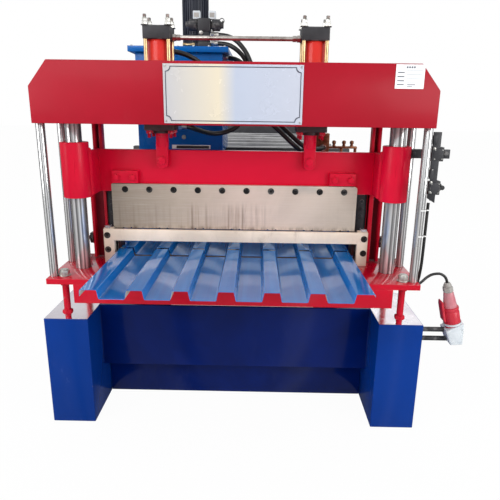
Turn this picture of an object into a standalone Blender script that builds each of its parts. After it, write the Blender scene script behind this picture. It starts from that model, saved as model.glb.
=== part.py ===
"""Roll forming machine: hydraulic cut-off shear at the exit end, with the last stands of the former.

Metres, +Z up. X runs across the machine, +Y runs back against the travel of the sheet.
The origin is the centre of the shear's floor rail, on floor level.
"""
import math

import bmesh
import bpy
from mathutils import Matrix, Vector

# Clearance between pieces that touch, and the one that moving pieces keep.
SEAT = 0.0003
RUN = 0.0055

# Floor rail, which carries the origin.
RAIL_DEPTH = 0.100
RAIL_HEIGHT = 0.160
RAIL_SETBACK = 0.286
FRONT_Y = -(RAIL_SETBACK + RAIL_DEPTH / 2)

# Box legs under the shear.
LEG_OUTER = 0.747
LEG_WIDTH = 0.175
LEG_HEIGHT = 0.461
LEG_SETBACK = 0.033
LEG_DEPTH = 0.366
PANEL_SETBACK = 0.192
PANEL_THICK = 0.012
PANEL_BOTTOM = 0.184

# Columns, tie rods and posts between table and top beam.
COLUMN_X = 0.614
COLUMN_SETBACK = 0.157
COLUMN_RADIUS = 0.030
ROD_X = 0.688
ROD_SETBACKS = (0.038, 0.236)
ROD_RADIUS = 0.016
POST_WIDTH = 0.066
POST_HEAD_WIDTH = 0.038
POST_HEAD_INSET = 0.003
POST_SHOULDER = 1.020
POST_DEPTH = 0.040
POST_WALL = 0.007

# Table, carried by four levelling studs.
TABLE_EDGE = 0.019
TABLE_HALF = ROD_X + TABLE_EDGE
TABLE_DEPTH = 0.352
TABLE_TOP = 0.639
TABLE_THICK = 0.022
APRON_HALF = 0.606
APRON_BOTTOM = 0.543
APRON_THICK = 0.020
STUD_X = 0.654
STUD_SETBACKS = (0.052, 0.305)
STUD_RADIUS = 0.0095
STUD_NUT_RADIUS = 0.018
STUD_NUT_HEIGHT = 0.022
STUD_FOOT_RADIUS = 0.010
STUD_FOOT_TAPER = 0.030

# Formed sheet: seven ribs.
RIB_PITCH = 0.150
RIB_COUNT = 7
RIB_HEIGHT = 0.0318
RIB_TOP_WIDTH = 0.053
RIB_FOOT_WIDTH = 0.061
SHEET_THICK = 0.0012
SHEET_HALF = 0.500
SHEET_VALLEY = 0.6637
SHEET_OVERHANG = 0.260
SHEET_LIP = 0.014

# Portal: the steel die frame that the sheet leaves through.
PORTAL_HALF = 0.546
PORTAL_TOP = 0.782
PORTAL_BAR = 0.048
PORTAL_SETBACK = 0.225
PORTAL_THICK = 0.014
PORTAL_SIDE_GAP = 0.003
END_BLOCK_TOP = 0.786
END_BLOCK_INSET = 0.001

# Blade, behind the portal, and the lower die behind the blade.
BLADE_HALF = 0.500
BLADE_BOTTOM = 0.784
BLADE_HEIGHT = 0.184
BLADE_THICK = 0.020
DIE_DEPTH = 0.025
DIE_SIDE_GAP = 0.002

# Moving beam with its guide sleeves.
BEAM_BOTTOM = 0.934
BEAM_TOP = 1.104
BEAM_THICK = 0.025
BEAM_LAP = 0.0125
SLEEVE_RADIUS = 0.053
SLEEVE_BOTTOM = 0.928
SLEEVE_TOP = 1.139
GUSSET_THICK = 0.014
GUSSET_START = 0.003
GUSSET_INSET = 0.051
GUSSET_DROP = 0.033
CLAMP_INNER = 0.379
CLAMP_WIDTH = 0.106
CLAMP_HEIGHT = 0.051
CLAMP_THICK = 0.020
CLAMP_GAP = 0.002

# Black blocks beside the posts, which keep the blade's ends in line.
GUIDE_INNER = 0.508
GUIDE_TOP = 0.927
GUIDE_DEPTH = 0.034

# Top beam.
TOP_EDGE = 0.014
TOP_HALF = ROD_X + TOP_EDGE
TOP_BOTTOM = 1.211
TOP_TOP = 1.421
TOP_DEPTH = 0.352
TOP_CORNER_X = 0.068
TOP_CORNER_Z = 0.086
SIGN_WIDTH = 0.475
SIGN_HEIGHT = 0.195
SIGN_BOTTOM = 1.217
SIGN_THICK = 0.003
LABEL_X = 0.594
LABEL_WIDTH = 0.097
LABEL_HEIGHT = 0.078
LABEL_TOP = 1.418
LABEL_THICK = 0.0015

# Hydraulic cylinders.
CYLINDER_X = 0.2936
CYLINDER_SETBACK = 0.252
TUBE_RADIUS = 0.044
TUBE_TOP = 1.5122
CAP_SIZE = 0.103
CAP_HEIGHT = 0.048
FLANGE_SIZE = 0.117
FLANGE_THICK = 0.028
STAY_SPREAD = 0.0425
STAY_RADIUS = 0.0075
STAY_TAIL = 0.028
STAY_NUT_RADIUS = 0.012
STAY_HEAD = 0.038
WELL_CLEARANCE = 0.001
PISTON_RADIUS = 0.025
PISTON_BOTTOM = 1.128
PISTON_TOP = 1.440
BORE_ROOM = 0.030
TONGUE_WIDTH = 0.046
TONGUE_THICK = 0.030
TONGUE_BOTTOM = 1.034
TONGUE_LAP = 0.010
PIN_Z = 1.065
PIN_RADIUS = 0.015
PIN_STAND = 0.006
PIPE_RADIUS = 0.0085
PIPE_DROP = 0.0375

# Limit switches and their striker.
STRIKER_REACH = 0.147
STRIKER_HEIGHT = 0.034
STRIKER_THICK = 0.012
STRIKER_BOTTOM = 1.095
BRACKET_GAP = 0.003
BRACKET_X = ROD_X + ROD_RADIUS + BRACKET_GAP
BRACKET_WIDTH = 0.028
BRACKET_THICK = 0.008
BRACKET_BOTTOM = 0.945
BRACKET_TOP = 1.198
SWITCH_INSET = 0.003
SWITCH_WIDTH = 0.042
SWITCH_DEPTH = 0.046
SWITCH_HEIGHT = 0.050
UPPER_SWITCH_BOTTOM = 1.095
LOWER_SWITCH_BOTTOM = 0.974
CLIP_HEIGHT = 0.030
CLIP_INSET = 0.012

# Mains plug in its inlet box on the right leg, seen from the exit side.
PLUG_REACH = 0.1594
PLUG_DROP = 0.0424
PLUG_X = LEG_OUTER + PLUG_REACH
PLUG_Z = LEG_HEIGHT - PLUG_DROP
PLUG_SETBACK = 0.150
PLUG_LEAN = 13.6
PLUG_BODY_RADIUS = 0.033
PLUG_BODY_TOP = 0.080
PLUG_CONE_RADIUS = 0.027
PLUG_NECK_RADIUS = 0.0195
PLUG_NECK_TOP = 0.145
GLAND_RADIUS = 0.0205
GLAND_TOP = 0.176
GLAND_TIP_RADIUS = 0.012
PLUG_TOP = 0.187
PLUG_SUNK = 0.028
INLET_CORNERS = ((-0.038, -0.018), (0.032, 0.018), (0.036, -0.075), (-0.013, -0.079))
INLET_DEPTH = 0.078
ARM_RADIUS = 0.010
ARM_DROPS = (0.0246, 0.0646)
ARM_PLATE_THICK = 0.008
ARM_PLATE_EDGE = 0.018

# Leads and hoses: radius, and the points that each route passes as (X, setback, Z).
LEAD_RADIUS = 0.0055
HOSE_RADIUS = 0.010
LEAD_ROUTE = (
    (0.7145, 0.040, 0.9447), (0.7145, 0.040, 0.9050), (0.7145, 0.040, 0.8650),
    (0.7145, 0.040, 0.8250), (0.7145, 0.040, 0.7850), (0.7145, 0.0405, 0.7450),
    (0.7145, 0.043, 0.7050), (0.7150, 0.052, 0.6670), (0.7175, 0.070, 0.6340),
    (0.7240, 0.094, 0.6120), (0.7380, 0.118, 0.6030), (0.7570, 0.135, 0.6085),
    (0.7770, 0.146, 0.6215), (0.7985, 0.150, 0.6330), (0.8221, 0.150, 0.6371),
    (0.8357, 0.150, 0.6347), (0.8478, 0.150, 0.6277), (0.8567, 0.150, 0.6171),
    (0.86095, 0.150, 0.60648), (0.86236, 0.150, 0.60065))
RETURN_ROUTE = (
    (-0.3180, 0.3038, 1.5235), (-0.3180, 0.3220, 1.5235), (-0.3170, 0.3420, 1.5195),
    (-0.3120, 0.3620, 1.5110), (-0.3020, 0.3800, 1.5020), (-0.2860, 0.3950, 1.4945),
    (-0.2650, 0.4050, 1.4895), (-0.2380, 0.4120, 1.4850), (-0.2110, 0.4200, 1.4770),
    (-0.1870, 0.4300, 1.4667), (-0.1680, 0.4400, 1.4550), (-0.1520, 0.4520, 1.4410),
    (-0.1390, 0.4660, 1.4240), (-0.1290, 0.4830, 1.4060), (-0.1220, 0.5030, 1.3920),
    (-0.1195, 0.5220, 1.3860), (-0.1195, 0.5397, 1.3860))
LOWER_ROUTE = (
    (-0.1272, 0.6000, 1.5430), (-0.1100, 0.6000, 1.5430), (-0.0920, 0.5975, 1.5425),
    (-0.0730, 0.5890, 1.5405), (-0.0530, 0.5770, 1.5360), (-0.0350, 0.5670, 1.5290),
    (-0.0160, 0.5620, 1.5170), (0.0080, 0.5610, 1.4970), (0.0290, 0.5620, 1.4675),
    (0.0410, 0.5620, 1.4300), (0.0470, 0.5560, 1.3890), (0.0490, 0.5410, 1.3440),
    (0.0450, 0.5170, 1.3000), (0.0350, 0.4900, 1.2560), (0.0170, 0.4660, 1.2180),
    (-0.0080, 0.4510, 1.1900), (-0.0370, 0.4460, 1.1745), (-0.0680, 0.4400, 1.1655),
    (-0.0980, 0.4260, 1.1625), (-0.1270, 0.4010, 1.1670), (-0.1520, 0.3690, 1.1760),
    (-0.1720, 0.3360, 1.1850), (-0.1920, 0.3130, 1.1930), (-0.2150, 0.3020, 1.1970),
    (-0.2348, 0.3020, 1.1970))
OUTER_ROUTE = (
    (-0.1272, 0.6000, 1.5775), (-0.1080, 0.6000, 1.5775), (-0.0880, 0.5985, 1.5770),
    (-0.0680, 0.5910, 1.5745), (-0.0480, 0.5780, 1.5690), (-0.0280, 0.5660, 1.5600),
    (-0.0100, 0.5590, 1.5480), (0.0080, 0.5540, 1.5300), (0.0270, 0.5500, 1.5060),
    (0.0430, 0.5450, 1.4760), (0.0560, 0.5380, 1.4430), (0.0670, 0.5290, 1.4000),
    (0.0800, 0.5180, 1.3500), (0.1000, 0.5050, 1.3000), (0.1300, 0.4920, 1.2560),
    (0.1620, 0.4800, 1.2220), (0.1980, 0.4700, 1.1880), (0.2270, 0.4660, 1.1620),
    (0.2540, 0.4640, 1.1380), (0.2800, 0.4650, 1.1170), (0.3060, 0.4700, 1.1030),
    (0.3310, 0.4800, 1.0980), (0.3530, 0.4960, 1.0980), (0.3710, 0.5190, 1.0995),
    (0.3820, 0.5460, 1.1000), (0.3850, 0.5600, 1.1000), (0.3850, 0.5747, 1.1000))
INNER_ROUTE = (
    (-0.0727, 0.6000, 1.4840), (-0.0550, 0.6000, 1.4840), (-0.0360, 0.5930, 1.4820),
    (-0.0150, 0.5780, 1.4755), (0.0050, 0.5600, 1.4640), (0.0220, 0.5400, 1.4470),
    (0.0350, 0.5200, 1.4230), (0.0460, 0.5020, 1.3900), (0.0570, 0.4850, 1.3500),
    (0.0720, 0.4700, 1.3000), (0.0970, 0.4580, 1.2520), (0.1310, 0.4500, 1.2160),
    (0.1680, 0.4460, 1.1860), (0.2000, 0.4450, 1.1570), (0.2280, 0.4470, 1.1310),
    (0.2490, 0.4560, 1.1130), (0.2630, 0.4720, 1.1010), (0.2700, 0.4930, 1.0940),
    (0.2750, 0.5190, 1.0910), (0.2800, 0.5450, 1.0900), (0.2874, 0.5725, 1.0900),
    (0.3075, 0.5926, 1.0900), (0.3350, 0.6000, 1.0900), (0.3547, 0.6000, 1.0900))

# Former behind the shear: base beams, side frames, ladder of tie bars, rolls.
FRAME_ROOM = 0.0325
SIDE_THICK = 0.025
BASE_HALF = SHEET_HALF + FRAME_ROOM + SIDE_THICK / 2
BASE_WIDTH = 0.150
BASE_HEIGHT = 0.380
BASE_TAIL = 0.050
CROSS_COUNT = 4
CROSS_FIRST = 0.640
CROSS_SIZE = 0.120
CROSS_BOTTOM = 0.060
SIDE_TOP = 0.980
SIDE_FRONT = 0.560
SIDE_TAIL = 0.110
STAND_COUNT = 6
STAND_PITCH = 0.300
STAND_FIRST = 0.990
SIDE_BACK = STAND_FIRST + STAND_PITCH * (STAND_COUNT - 0.5) + SIDE_TAIL
BASE_BACK = SIDE_BACK + BASE_TAIL
CROSS_PITCH = (BASE_BACK - CROSS_SIZE - CROSS_FIRST) / (CROSS_COUNT - 1)
END_PLATE_TOP = 1.120
END_PLATE_THICK = 0.020
RAIL_BAR = 0.040
TIE_RADIUS = 0.025
TIE_TOP = 1.060
ROLL_LOW = 0.070
ROLL_HIGH = 0.102
ROLL_SIDE_GAP = 0.006
JOURNAL_RADIUS = 0.025
JOURNAL_PLAY = 0.0003
JOURNAL_STAND = 0.035
ROLL_END_GAP = 0.008

# Hydraulic power pack above the first stands.
TANK_LEFT = -0.454
TANK_RIGHT = -0.073
TANK_TOP = 1.498
TANK_FRONT = 0.540
TANK_DEPTH = 0.400
LID_THICK = 0.024
LID_OVER_X = 0.026
LID_OVER_Y = 0.025
BEARER_SIZE = 0.050
BEARER_INSET = 0.035
VALVE_X = -0.1545
VALVE_SETBACK = 0.600
VALVE_WIDTH = 0.054
VALVE_DEPTH = 0.080
VALVE_HEIGHT = 0.118
COIL_RADIUS = 0.025
COIL_LENGTH = 0.056
COIL_RISE = 0.095
CONNECTOR_SIZE = 0.032
CONNECTOR_OUT = 0.034
MOTOR_X = -0.210
MOTOR_RADIUS = 0.061
MOTOR_HEIGHT = 0.300
MOTOR_FLANGE_RADIUS = 0.076
MOTOR_FLANGE = 0.016
MOTOR_GAP = 0.024
MOTOR_SETBACK = VALVE_SETBACK + VALVE_DEPTH / 2 + MOTOR_GAP + MOTOR_FLANGE_RADIUS

# Distributor on the front bearer, where the two long hoses end.
DISTRIBUTOR_LEFT = 0.355
DISTRIBUTOR_WIDTH = 0.060
DISTRIBUTOR_HEIGHT = 0.092
GAUGE_BAR_RIGHT = 0.545
GAUGE_BAR_RISE = 0.024
GAUGE_BAR_THICK = 0.010
GAUGE_BAR_DEPTH = 0.030
GAUGE_BAR_FOOT = 0.012

ROUND = 24
MEDIUM_ROUND = 16
SMALL_ROUND = 12
NUT_ROUND = 8

# Faces that meet at less than this angle, in degrees, are shaded as one round surface.
SMOOTH_ANGLE = 32

# Steps between two points of a route, the straight start at each end, and a cord's point spacing in radii.
ROUTE_FINE = 12
ROUTE_STUB = 0.006
CORD_STEP = 4.4

# How far a cutter runs past the piece that it opens.
PAST = 0.050


def y_at(setback):
    """Y of a plane that lies this far behind the table's front edge."""
    return FRONT_Y + setback


def clear_scene():
    for old in list(bpy.data.objects):
        bpy.data.objects.remove(old, do_unlink=True)


def paint(name, colour, roughness, metallic=0.0):
    material = bpy.data.materials.new(name)
    material.use_nodes = True
    shader = material.node_tree.nodes["Principled BSDF"]
    shader.inputs["Base Color"].default_value = (*colour, 1.0)
    shader.inputs["Roughness"].default_value = roughness
    shader.inputs["Metallic"].default_value = metallic
    material.diffuse_color = (*colour, 1.0)
    return material


def add_object(name, bm, material, location=(0, 0, 0)):
    """Store a bmesh as one object with its normals facing out."""
    bmesh.ops.recalc_face_normals(bm, faces=bm.faces)
    mesh = bpy.data.meshes.new(name)
    bm.to_mesh(mesh)
    bm.free()
    mesh.materials.append(material)
    mesh.shade_smooth()
    mesh.set_sharp_from_angle(angle=math.radians(SMOOTH_ANGLE))
    piece = bpy.data.objects.new(name, mesh)
    piece.location = location
    bpy.context.collection.objects.link(piece)
    return piece


def block(name, low, high, material):
    """A box between two corners, with its origin at its centre."""
    low, high = Vector(low), Vector(high)
    bm = bmesh.new()
    bmesh.ops.create_cube(bm, size=1.0)
    bmesh.ops.scale(bm, vec=high - low, verts=bm.verts)
    return add_object(name, bm, material, (low + high) / 2)


def prism(name, outline, depth, material, location, axes=("X", "Z", "Y")):
    """A closed outline in two axes, extruded along the third from the location."""
    index = {"X": 0, "Y": 1, "Z": 2}
    bm = bmesh.new()
    corners = []
    for first, second in outline:
        point = Vector()
        point[index[axes[0]]] = first
        point[index[axes[1]]] = second
        corners.append(bm.verts.new(point))
    face = bm.faces.new(corners)
    grown = bmesh.ops.extrude_face_region(bm, geom=[face])
    moved = [item for item in grown["geom"] if isinstance(item, bmesh.types.BMVert)]
    push = Vector()
    push[index[axes[2]]] = depth
    bmesh.ops.translate(bm, vec=push, verts=moved)
    return add_object(name, bm, material, location)


def turned(name, profile, material, location, axis="Z", sides=ROUND):
    """A solid of revolution from (radius, height) points that start and end on the axis."""
    bm = bmesh.new()
    points = [bm.verts.new((radius, 0, height)) for radius, height in profile]
    edges = [bm.edges.new(pair) for pair in zip(points, points[1:])]
    bmesh.ops.spin(bm, geom=points + edges, cent=(0, 0, 0), axis=(0, 0, 1),
                   angle=math.tau, steps=sides, use_merge=True)
    bmesh.ops.remove_doubles(bm, verts=bm.verts, dist=1e-6)
    if axis == "X":
        bmesh.ops.rotate(bm, verts=bm.verts, matrix=Matrix.Rotation(math.radians(90), 3, "Y"))
    if axis == "Y":
        bmesh.ops.rotate(bm, verts=bm.verts, matrix=Matrix.Rotation(math.radians(-90), 3, "X"))
    return add_object(name, bm, material, location)


def rod(name, radius, low, high, material, location, axis="Z", sides=ROUND):
    return turned(name, [(0, low), (radius, low), (radius, high), (0, high)],
                  material, location, axis, sides)


def tool(piece):
    """Mark a shape that only cuts or joins another one."""
    piece.hide_render = True
    piece.display_type = "WIRE"
    return piece


def combine(target, other, operation):
    tool(other)
    step = target.modifiers.new(f"{operation.lower()} {other.name}", "BOOLEAN")
    step.operation = operation
    step.solver = "EXACT"
    step.object = other
    return target


def join(target, other):
    return combine(target, other, "UNION")


def cut(target, other):
    return combine(target, other, "DIFFERENCE")


def circumscribed(radius, sides=ROUND):
    """Corner radius of a polygon whose flats lie at this radius."""
    return radius / math.cos(math.pi / sides)


def carrier(name, location):
    """An empty that a moving group hangs on."""
    empty = bpy.data.objects.new(name, None)
    empty.location = location
    bpy.context.collection.objects.link(empty)
    return empty


def hang(piece, empty):
    """Parent a piece without moving it."""
    piece.parent = empty
    piece.matrix_parent_inverse = Matrix.Translation(-empty.location)


def sides():
    return ((-1, "left"), (1, "right"))


def span(side, inner, outer):
    """Low and high X of a strip on one side of the middle."""
    return sorted((side * inner, side * outer))


def smooth_route(points, step):
    """Points at an even step along a smooth curve through the route's own points."""
    points = [Vector(point) for point in points]
    padded = [2 * points[0] - points[1]] + points + [2 * points[-1] - points[-2]]
    fine = []
    for a, b, c, d in zip(padded, padded[1:], padded[2:], padded[3:]):
        for part in range(ROUTE_FINE):
            t = part / ROUTE_FINE
            fine.append((2 * b + (c - a) * t + (2 * a - 5 * b + 4 * c - d) * t ** 2
                         + (3 * b - a - 3 * c + d) * t ** 3) / 2)
    fine.append(points[-1])
    lengths = [0.0]
    for first, second in zip(fine, fine[1:]):
        lengths.append(lengths[-1] + (second - first).length)
    count = max(2, round(lengths[-1] / step))
    even, index = [], 0
    for number in range(count + 1):
        target = lengths[-1] * number / count
        while index < len(fine) - 2 and lengths[index + 1] < target:
            index += 1
        share = (target - lengths[index]) / (lengths[index + 1] - lengths[index])
        even.append(fine[index].lerp(fine[index + 1], min(share, 1.0)))
    start = points[0] + (points[1] - points[0]).normalized() * ROUTE_STUB
    end = points[-1] + (points[-2] - points[-1]).normalized() * ROUTE_STUB
    return [even[0], start] + even[1:-1] + [end, even[-1]]


def cord(name, route, radius, material):
    """A round lead or hose along a route of (X, setback, Z) points."""
    points = smooth_route([(x, y_at(setback), z) for x, setback, z in route], radius * CORD_STEP)
    curve = bpy.data.curves.new(name, "CURVE")
    curve.dimensions = "3D"
    curve.bevel_depth = radius
    curve.bevel_resolution = 2
    curve.use_fill_caps = True
    spline = curve.splines.new("POLY")
    spline.points.add(len(points) - 1)
    for place, point in zip(spline.points, points):
        place.co = (*point, 1.0)
    curve.materials.append(material)
    piece = bpy.data.objects.new(name, curve)
    bpy.context.collection.objects.link(piece)
    return piece


def rib_centres():
    return [RIB_PITCH * (i - (RIB_COUNT - 1) / 2) for i in range(RIB_COUNT)]


def build_base(blue, navy):
    inner = LEG_OUTER - LEG_WIDTH
    for side, word in sides():
        x0, x1 = span(side, inner, LEG_OUTER)
        block(f"leg_{word}", (x0, y_at(LEG_SETBACK), 0),
              (x1, y_at(LEG_SETBACK + LEG_DEPTH), LEG_HEIGHT), blue)
    block("cross_panel", (-inner + SEAT, y_at(PANEL_SETBACK), PANEL_BOTTOM),
          (inner - SEAT, y_at(PANEL_SETBACK + PANEL_THICK), LEG_HEIGHT), navy)
    block("floor_rail", (-inner + SEAT, y_at(RAIL_SETBACK), 0),
          (inner - SEAT, y_at(RAIL_SETBACK + RAIL_DEPTH), RAIL_HEIGHT), navy)


def build_stud(name, x, setback, material):
    """A levelling stud that stands on the leg and is screwed into the table."""
    low = LEG_HEIGHT + SEAT
    taper = low + STUD_FOOT_TAPER
    high = TABLE_TOP - TABLE_THICK
    nut = STUD_NUT_RADIUS
    profile = [(0, low), (STUD_FOOT_RADIUS, low), (nut, taper), (nut, taper + STUD_NUT_HEIGHT),
               (STUD_RADIUS, taper + STUD_NUT_HEIGHT), (STUD_RADIUS, high - STUD_NUT_HEIGHT),
               (nut, high - STUD_NUT_HEIGHT), (nut, high + TABLE_THICK / 2), (0, high + TABLE_THICK / 2)]
    return turned(name, profile, material, (x, y_at(setback), 0), sides=SMALL_ROUND)


def build_table(red):
    table = block("table", (-TABLE_HALF, y_at(0), TABLE_TOP - TABLE_THICK),
                  (TABLE_HALF, y_at(TABLE_DEPTH), TABLE_TOP), red)
    apron = block("apron", (-APRON_HALF, y_at(0), APRON_BOTTOM),
                  (APRON_HALF, y_at(APRON_THICK), TABLE_TOP - TABLE_THICK / 2), red)
    join(table, apron)
    for side, word in sides():
        for row, setback in zip(("front", "rear"), STUD_SETBACKS):
            join(table, build_stud(f"stud_{row}_{word}", side * STUD_X, setback, red))


def build_portal(steel):
    """The exit die: a closed steel frame around the sheet."""
    window_low = SHEET_VALLEY - SHEET_LIP - SEAT
    window_half = SHEET_HALF + PORTAL_SIDE_GAP
    portal = block("portal", (-PORTAL_HALF, y_at(PORTAL_SETBACK), TABLE_TOP + SEAT),
                   (PORTAL_HALF, y_at(PORTAL_SETBACK + PORTAL_THICK), PORTAL_TOP), steel)
    window = block("portal_window", (-window_half, y_at(PORTAL_SETBACK) - PORTAL_THICK, window_low),
                   (window_half, y_at(PORTAL_SETBACK) + 2 * PORTAL_THICK, PORTAL_TOP - PORTAL_BAR), steel)
    cut(portal, window)
    depth = PORTAL_SETBACK + PORTAL_THICK
    for side, word in sides():
        x0, x1 = span(side, BLADE_HALF + RUN, PORTAL_HALF - END_BLOCK_INSET)
        low = TABLE_TOP + SEAT + END_BLOCK_INSET
        join(portal, block(f"end_block_{word}", (x0, y_at(PORTAL_SETBACK + PORTAL_THICK / 2), low),
                           (x1, y_at(depth + BLADE_THICK), END_BLOCK_TOP), steel))


def blade_setback():
    return PORTAL_SETBACK + PORTAL_THICK + RUN


def build_die(steel):
    low = blade_setback() + BLADE_THICK + RUN
    half = SHEET_HALF - SHEET_THICK - DIE_SIDE_GAP
    block("lower_die", (-half, y_at(low), TABLE_TOP + SEAT),
          (half, y_at(low + DIE_DEPTH), SHEET_VALLEY - SHEET_THICK - SEAT), steel)


def beam_setback():
    return blade_setback() + BLADE_THICK + SEAT


def build_cutter(red, steel):
    """Everything that the two pistons push down together."""
    group = carrier("cutter", (0, y_at(beam_setback()), BEAM_BOTTOM))
    half = COLUMN_X - SLEEVE_RADIUS + BEAM_LAP
    beam = block("moving_beam", (-half, y_at(beam_setback()), BEAM_BOTTOM),
                 (half, y_at(beam_setback() + BEAM_THICK), BEAM_TOP), red)
    for side, word in sides():
        sleeve = rod(f"sleeve_{word}", SLEEVE_RADIUS, SLEEVE_BOTTOM, SLEEVE_TOP, red,
                     (side * COLUMN_X, y_at(COLUMN_SETBACK), 0))
        gusset_x = COLUMN_X - GUSSET_INSET
        gx0, gx1 = span(side, gusset_x - GUSSET_THICK / 2, gusset_x + GUSSET_THICK / 2)
        gusset = block(f"gusset_{word}", (gx0, y_at(COLUMN_SETBACK + GUSSET_START), BEAM_BOTTOM),
                       (gx1, y_at(beam_setback() + BEAM_THICK / 2), SLEEVE_TOP - GUSSET_DROP), red)
        cx0, cx1 = span(side, CLAMP_INNER, CLAMP_INNER + CLAMP_WIDTH)
        clamp_low = BLADE_BOTTOM + BLADE_HEIGHT + CLAMP_GAP
        clamp = block(f"clamp_{word}", (cx0, y_at(beam_setback() - CLAMP_THICK), clamp_low),
                      (cx1, y_at(beam_setback() + BEAM_THICK / 2), clamp_low + CLAMP_HEIGHT), red)
        bore = rod(f"sleeve_bore_{word}", circumscribed(COLUMN_RADIUS + SEAT), SLEEVE_BOTTOM - PAST,
                   SLEEVE_TOP + PAST, red, (side * COLUMN_X, y_at(COLUMN_SETBACK), 0))
        join(beam, sleeve)
        join(beam, gusset)
        join(beam, clamp)
        cut(beam, bore)
    blade = block("blade", (-BLADE_HALF, y_at(blade_setback()), BLADE_BOTTOM),
                  (BLADE_HALF, y_at(blade_setback() + BLADE_THICK), BLADE_BOTTOM + BLADE_HEIGHT), steel)
    hang(beam, group)
    hang(blade, group)
    return group


def build_pistons(group, red):
    for side, word in sides():
        place = (side * CYLINDER_X, y_at(CYLINDER_SETBACK), 0)
        piston = rod(f"piston_{word}", PISTON_RADIUS, PISTON_BOTTOM, PISTON_TOP, red, place)
        back = y_at(beam_setback()) - SEAT
        half = TONGUE_WIDTH / 2
        face = back - TONGUE_THICK
        tongue = block(f"tongue_{word}", (place[0] - half, face, TONGUE_BOTTOM),
                       (place[0] + half, back, PISTON_BOTTOM + TONGUE_LAP), red)
        pin = rod(f"pin_{word}", PIN_RADIUS, face - PIN_STAND, face + TONGUE_THICK / 2, red,
                  (place[0], 0, PIN_Z), axis="Y", sides=SMALL_ROUND)
        join(piston, tongue)
        join(piston, pin)
        hang(piston, group)


def build_guides(red, chrome):
    low = TABLE_TOP + SEAT
    high = TOP_BOTTOM - SEAT
    for side, word in sides():
        rod(f"column_{word}", COLUMN_RADIUS, low, high, chrome,
            (side * COLUMN_X, y_at(COLUMN_SETBACK), 0))
        for row, setback in zip(("front", "rear"), ROD_SETBACKS):
            rod(f"tie_rod_{row}_{word}", ROD_RADIUS, low, high, chrome,
                (side * ROD_X, y_at(setback), 0), sides=MEDIUM_ROUND)
        post = build_post(f"post_{word}", side, low, high, red)
        x0, x1 = span(side, GUIDE_INNER, PORTAL_HALF + POST_WALL / 2)
        join(post, block(f"blade_guide_{word}", (x0, y_at(post_setback()), low),
                         (x1, y_at(post_setback() + GUIDE_DEPTH), GUIDE_TOP), red))


def post_setback():
    return beam_setback() + BEAM_THICK + RUN


def channel(name, width, centre, low, high, material):
    """A channel, open to the front."""
    w, d, t = width / 2, POST_DEPTH, POST_WALL
    outline = [(-w, 0), (-w + t, 0), (-w + t, d - t), (w - t, d - t), (w - t, 0), (w, 0), (w, d), (-w, d)]
    place = (centre, y_at(post_setback()), low)
    return prism(name, outline, high - low, material, place, axes=("X", "Y", "Z"))


def build_post(name, side, low, high, red):
    """A wide channel up to a shoulder plate behind the moving beam, and a narrow one above it."""
    centre = side * (PORTAL_HALF + POST_WIDTH / 2)
    head_centre = side * (PORTAL_HALF + POST_HEAD_INSET + POST_HEAD_WIDTH / 2)
    post = channel(name, POST_WIDTH, centre, low, POST_SHOULDER, red)
    x0, x1 = span(side, PORTAL_HALF, PORTAL_HALF + POST_WIDTH)
    join(post, block(f"shoulder_{name}", (x0, y_at(post_setback()), POST_SHOULDER - POST_WALL / 2),
                     (x1, y_at(post_setback() + POST_DEPTH), POST_SHOULDER + POST_WALL / 2), red))
    join(post, channel(f"head_{name}", POST_HEAD_WIDTH, head_centre, POST_SHOULDER, high, red))
    return post


def build_top_beam(red, white):
    x, z = TOP_CORNER_X, TOP_TOP - TOP_CORNER_Z
    outline = [(-TOP_HALF, TOP_BOTTOM), (TOP_HALF, TOP_BOTTOM), (TOP_HALF, z),
               (TOP_HALF - x, TOP_TOP), (-TOP_HALF + x, TOP_TOP), (-TOP_HALF, z)]
    beam = prism("top_beam", outline, TOP_DEPTH, red, (0, y_at(0), 0))
    well = CAP_SIZE / 2 + WELL_CLEARANCE
    for side, word in sides():
        cx, cy = side * CYLINDER_X, y_at(CYLINDER_SETBACK)
        cut(beam, block(f"well_{word}", (cx - well, cy - well, TOP_BOTTOM - PAST),
                        (cx + well, cy + well, TOP_TOP + PAST), red))
    block("sign_plate", (-SIGN_WIDTH / 2, y_at(0) - SEAT - SIGN_THICK, SIGN_BOTTOM),
          (SIGN_WIDTH / 2, y_at(0) - SEAT, SIGN_BOTTOM + SIGN_HEIGHT), white)
    block("rating_plate",
          (LABEL_X - LABEL_WIDTH / 2, y_at(0) - SEAT - LABEL_THICK, LABEL_TOP - LABEL_HEIGHT),
          (LABEL_X + LABEL_WIDTH / 2, y_at(0) - SEAT, LABEL_TOP), white)


def stay_places(x, y):
    return [(x + i * STAY_SPREAD, y + j * STAY_SPREAD, 0) for i in (-1, 1) for j in (-1, 1)]


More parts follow.
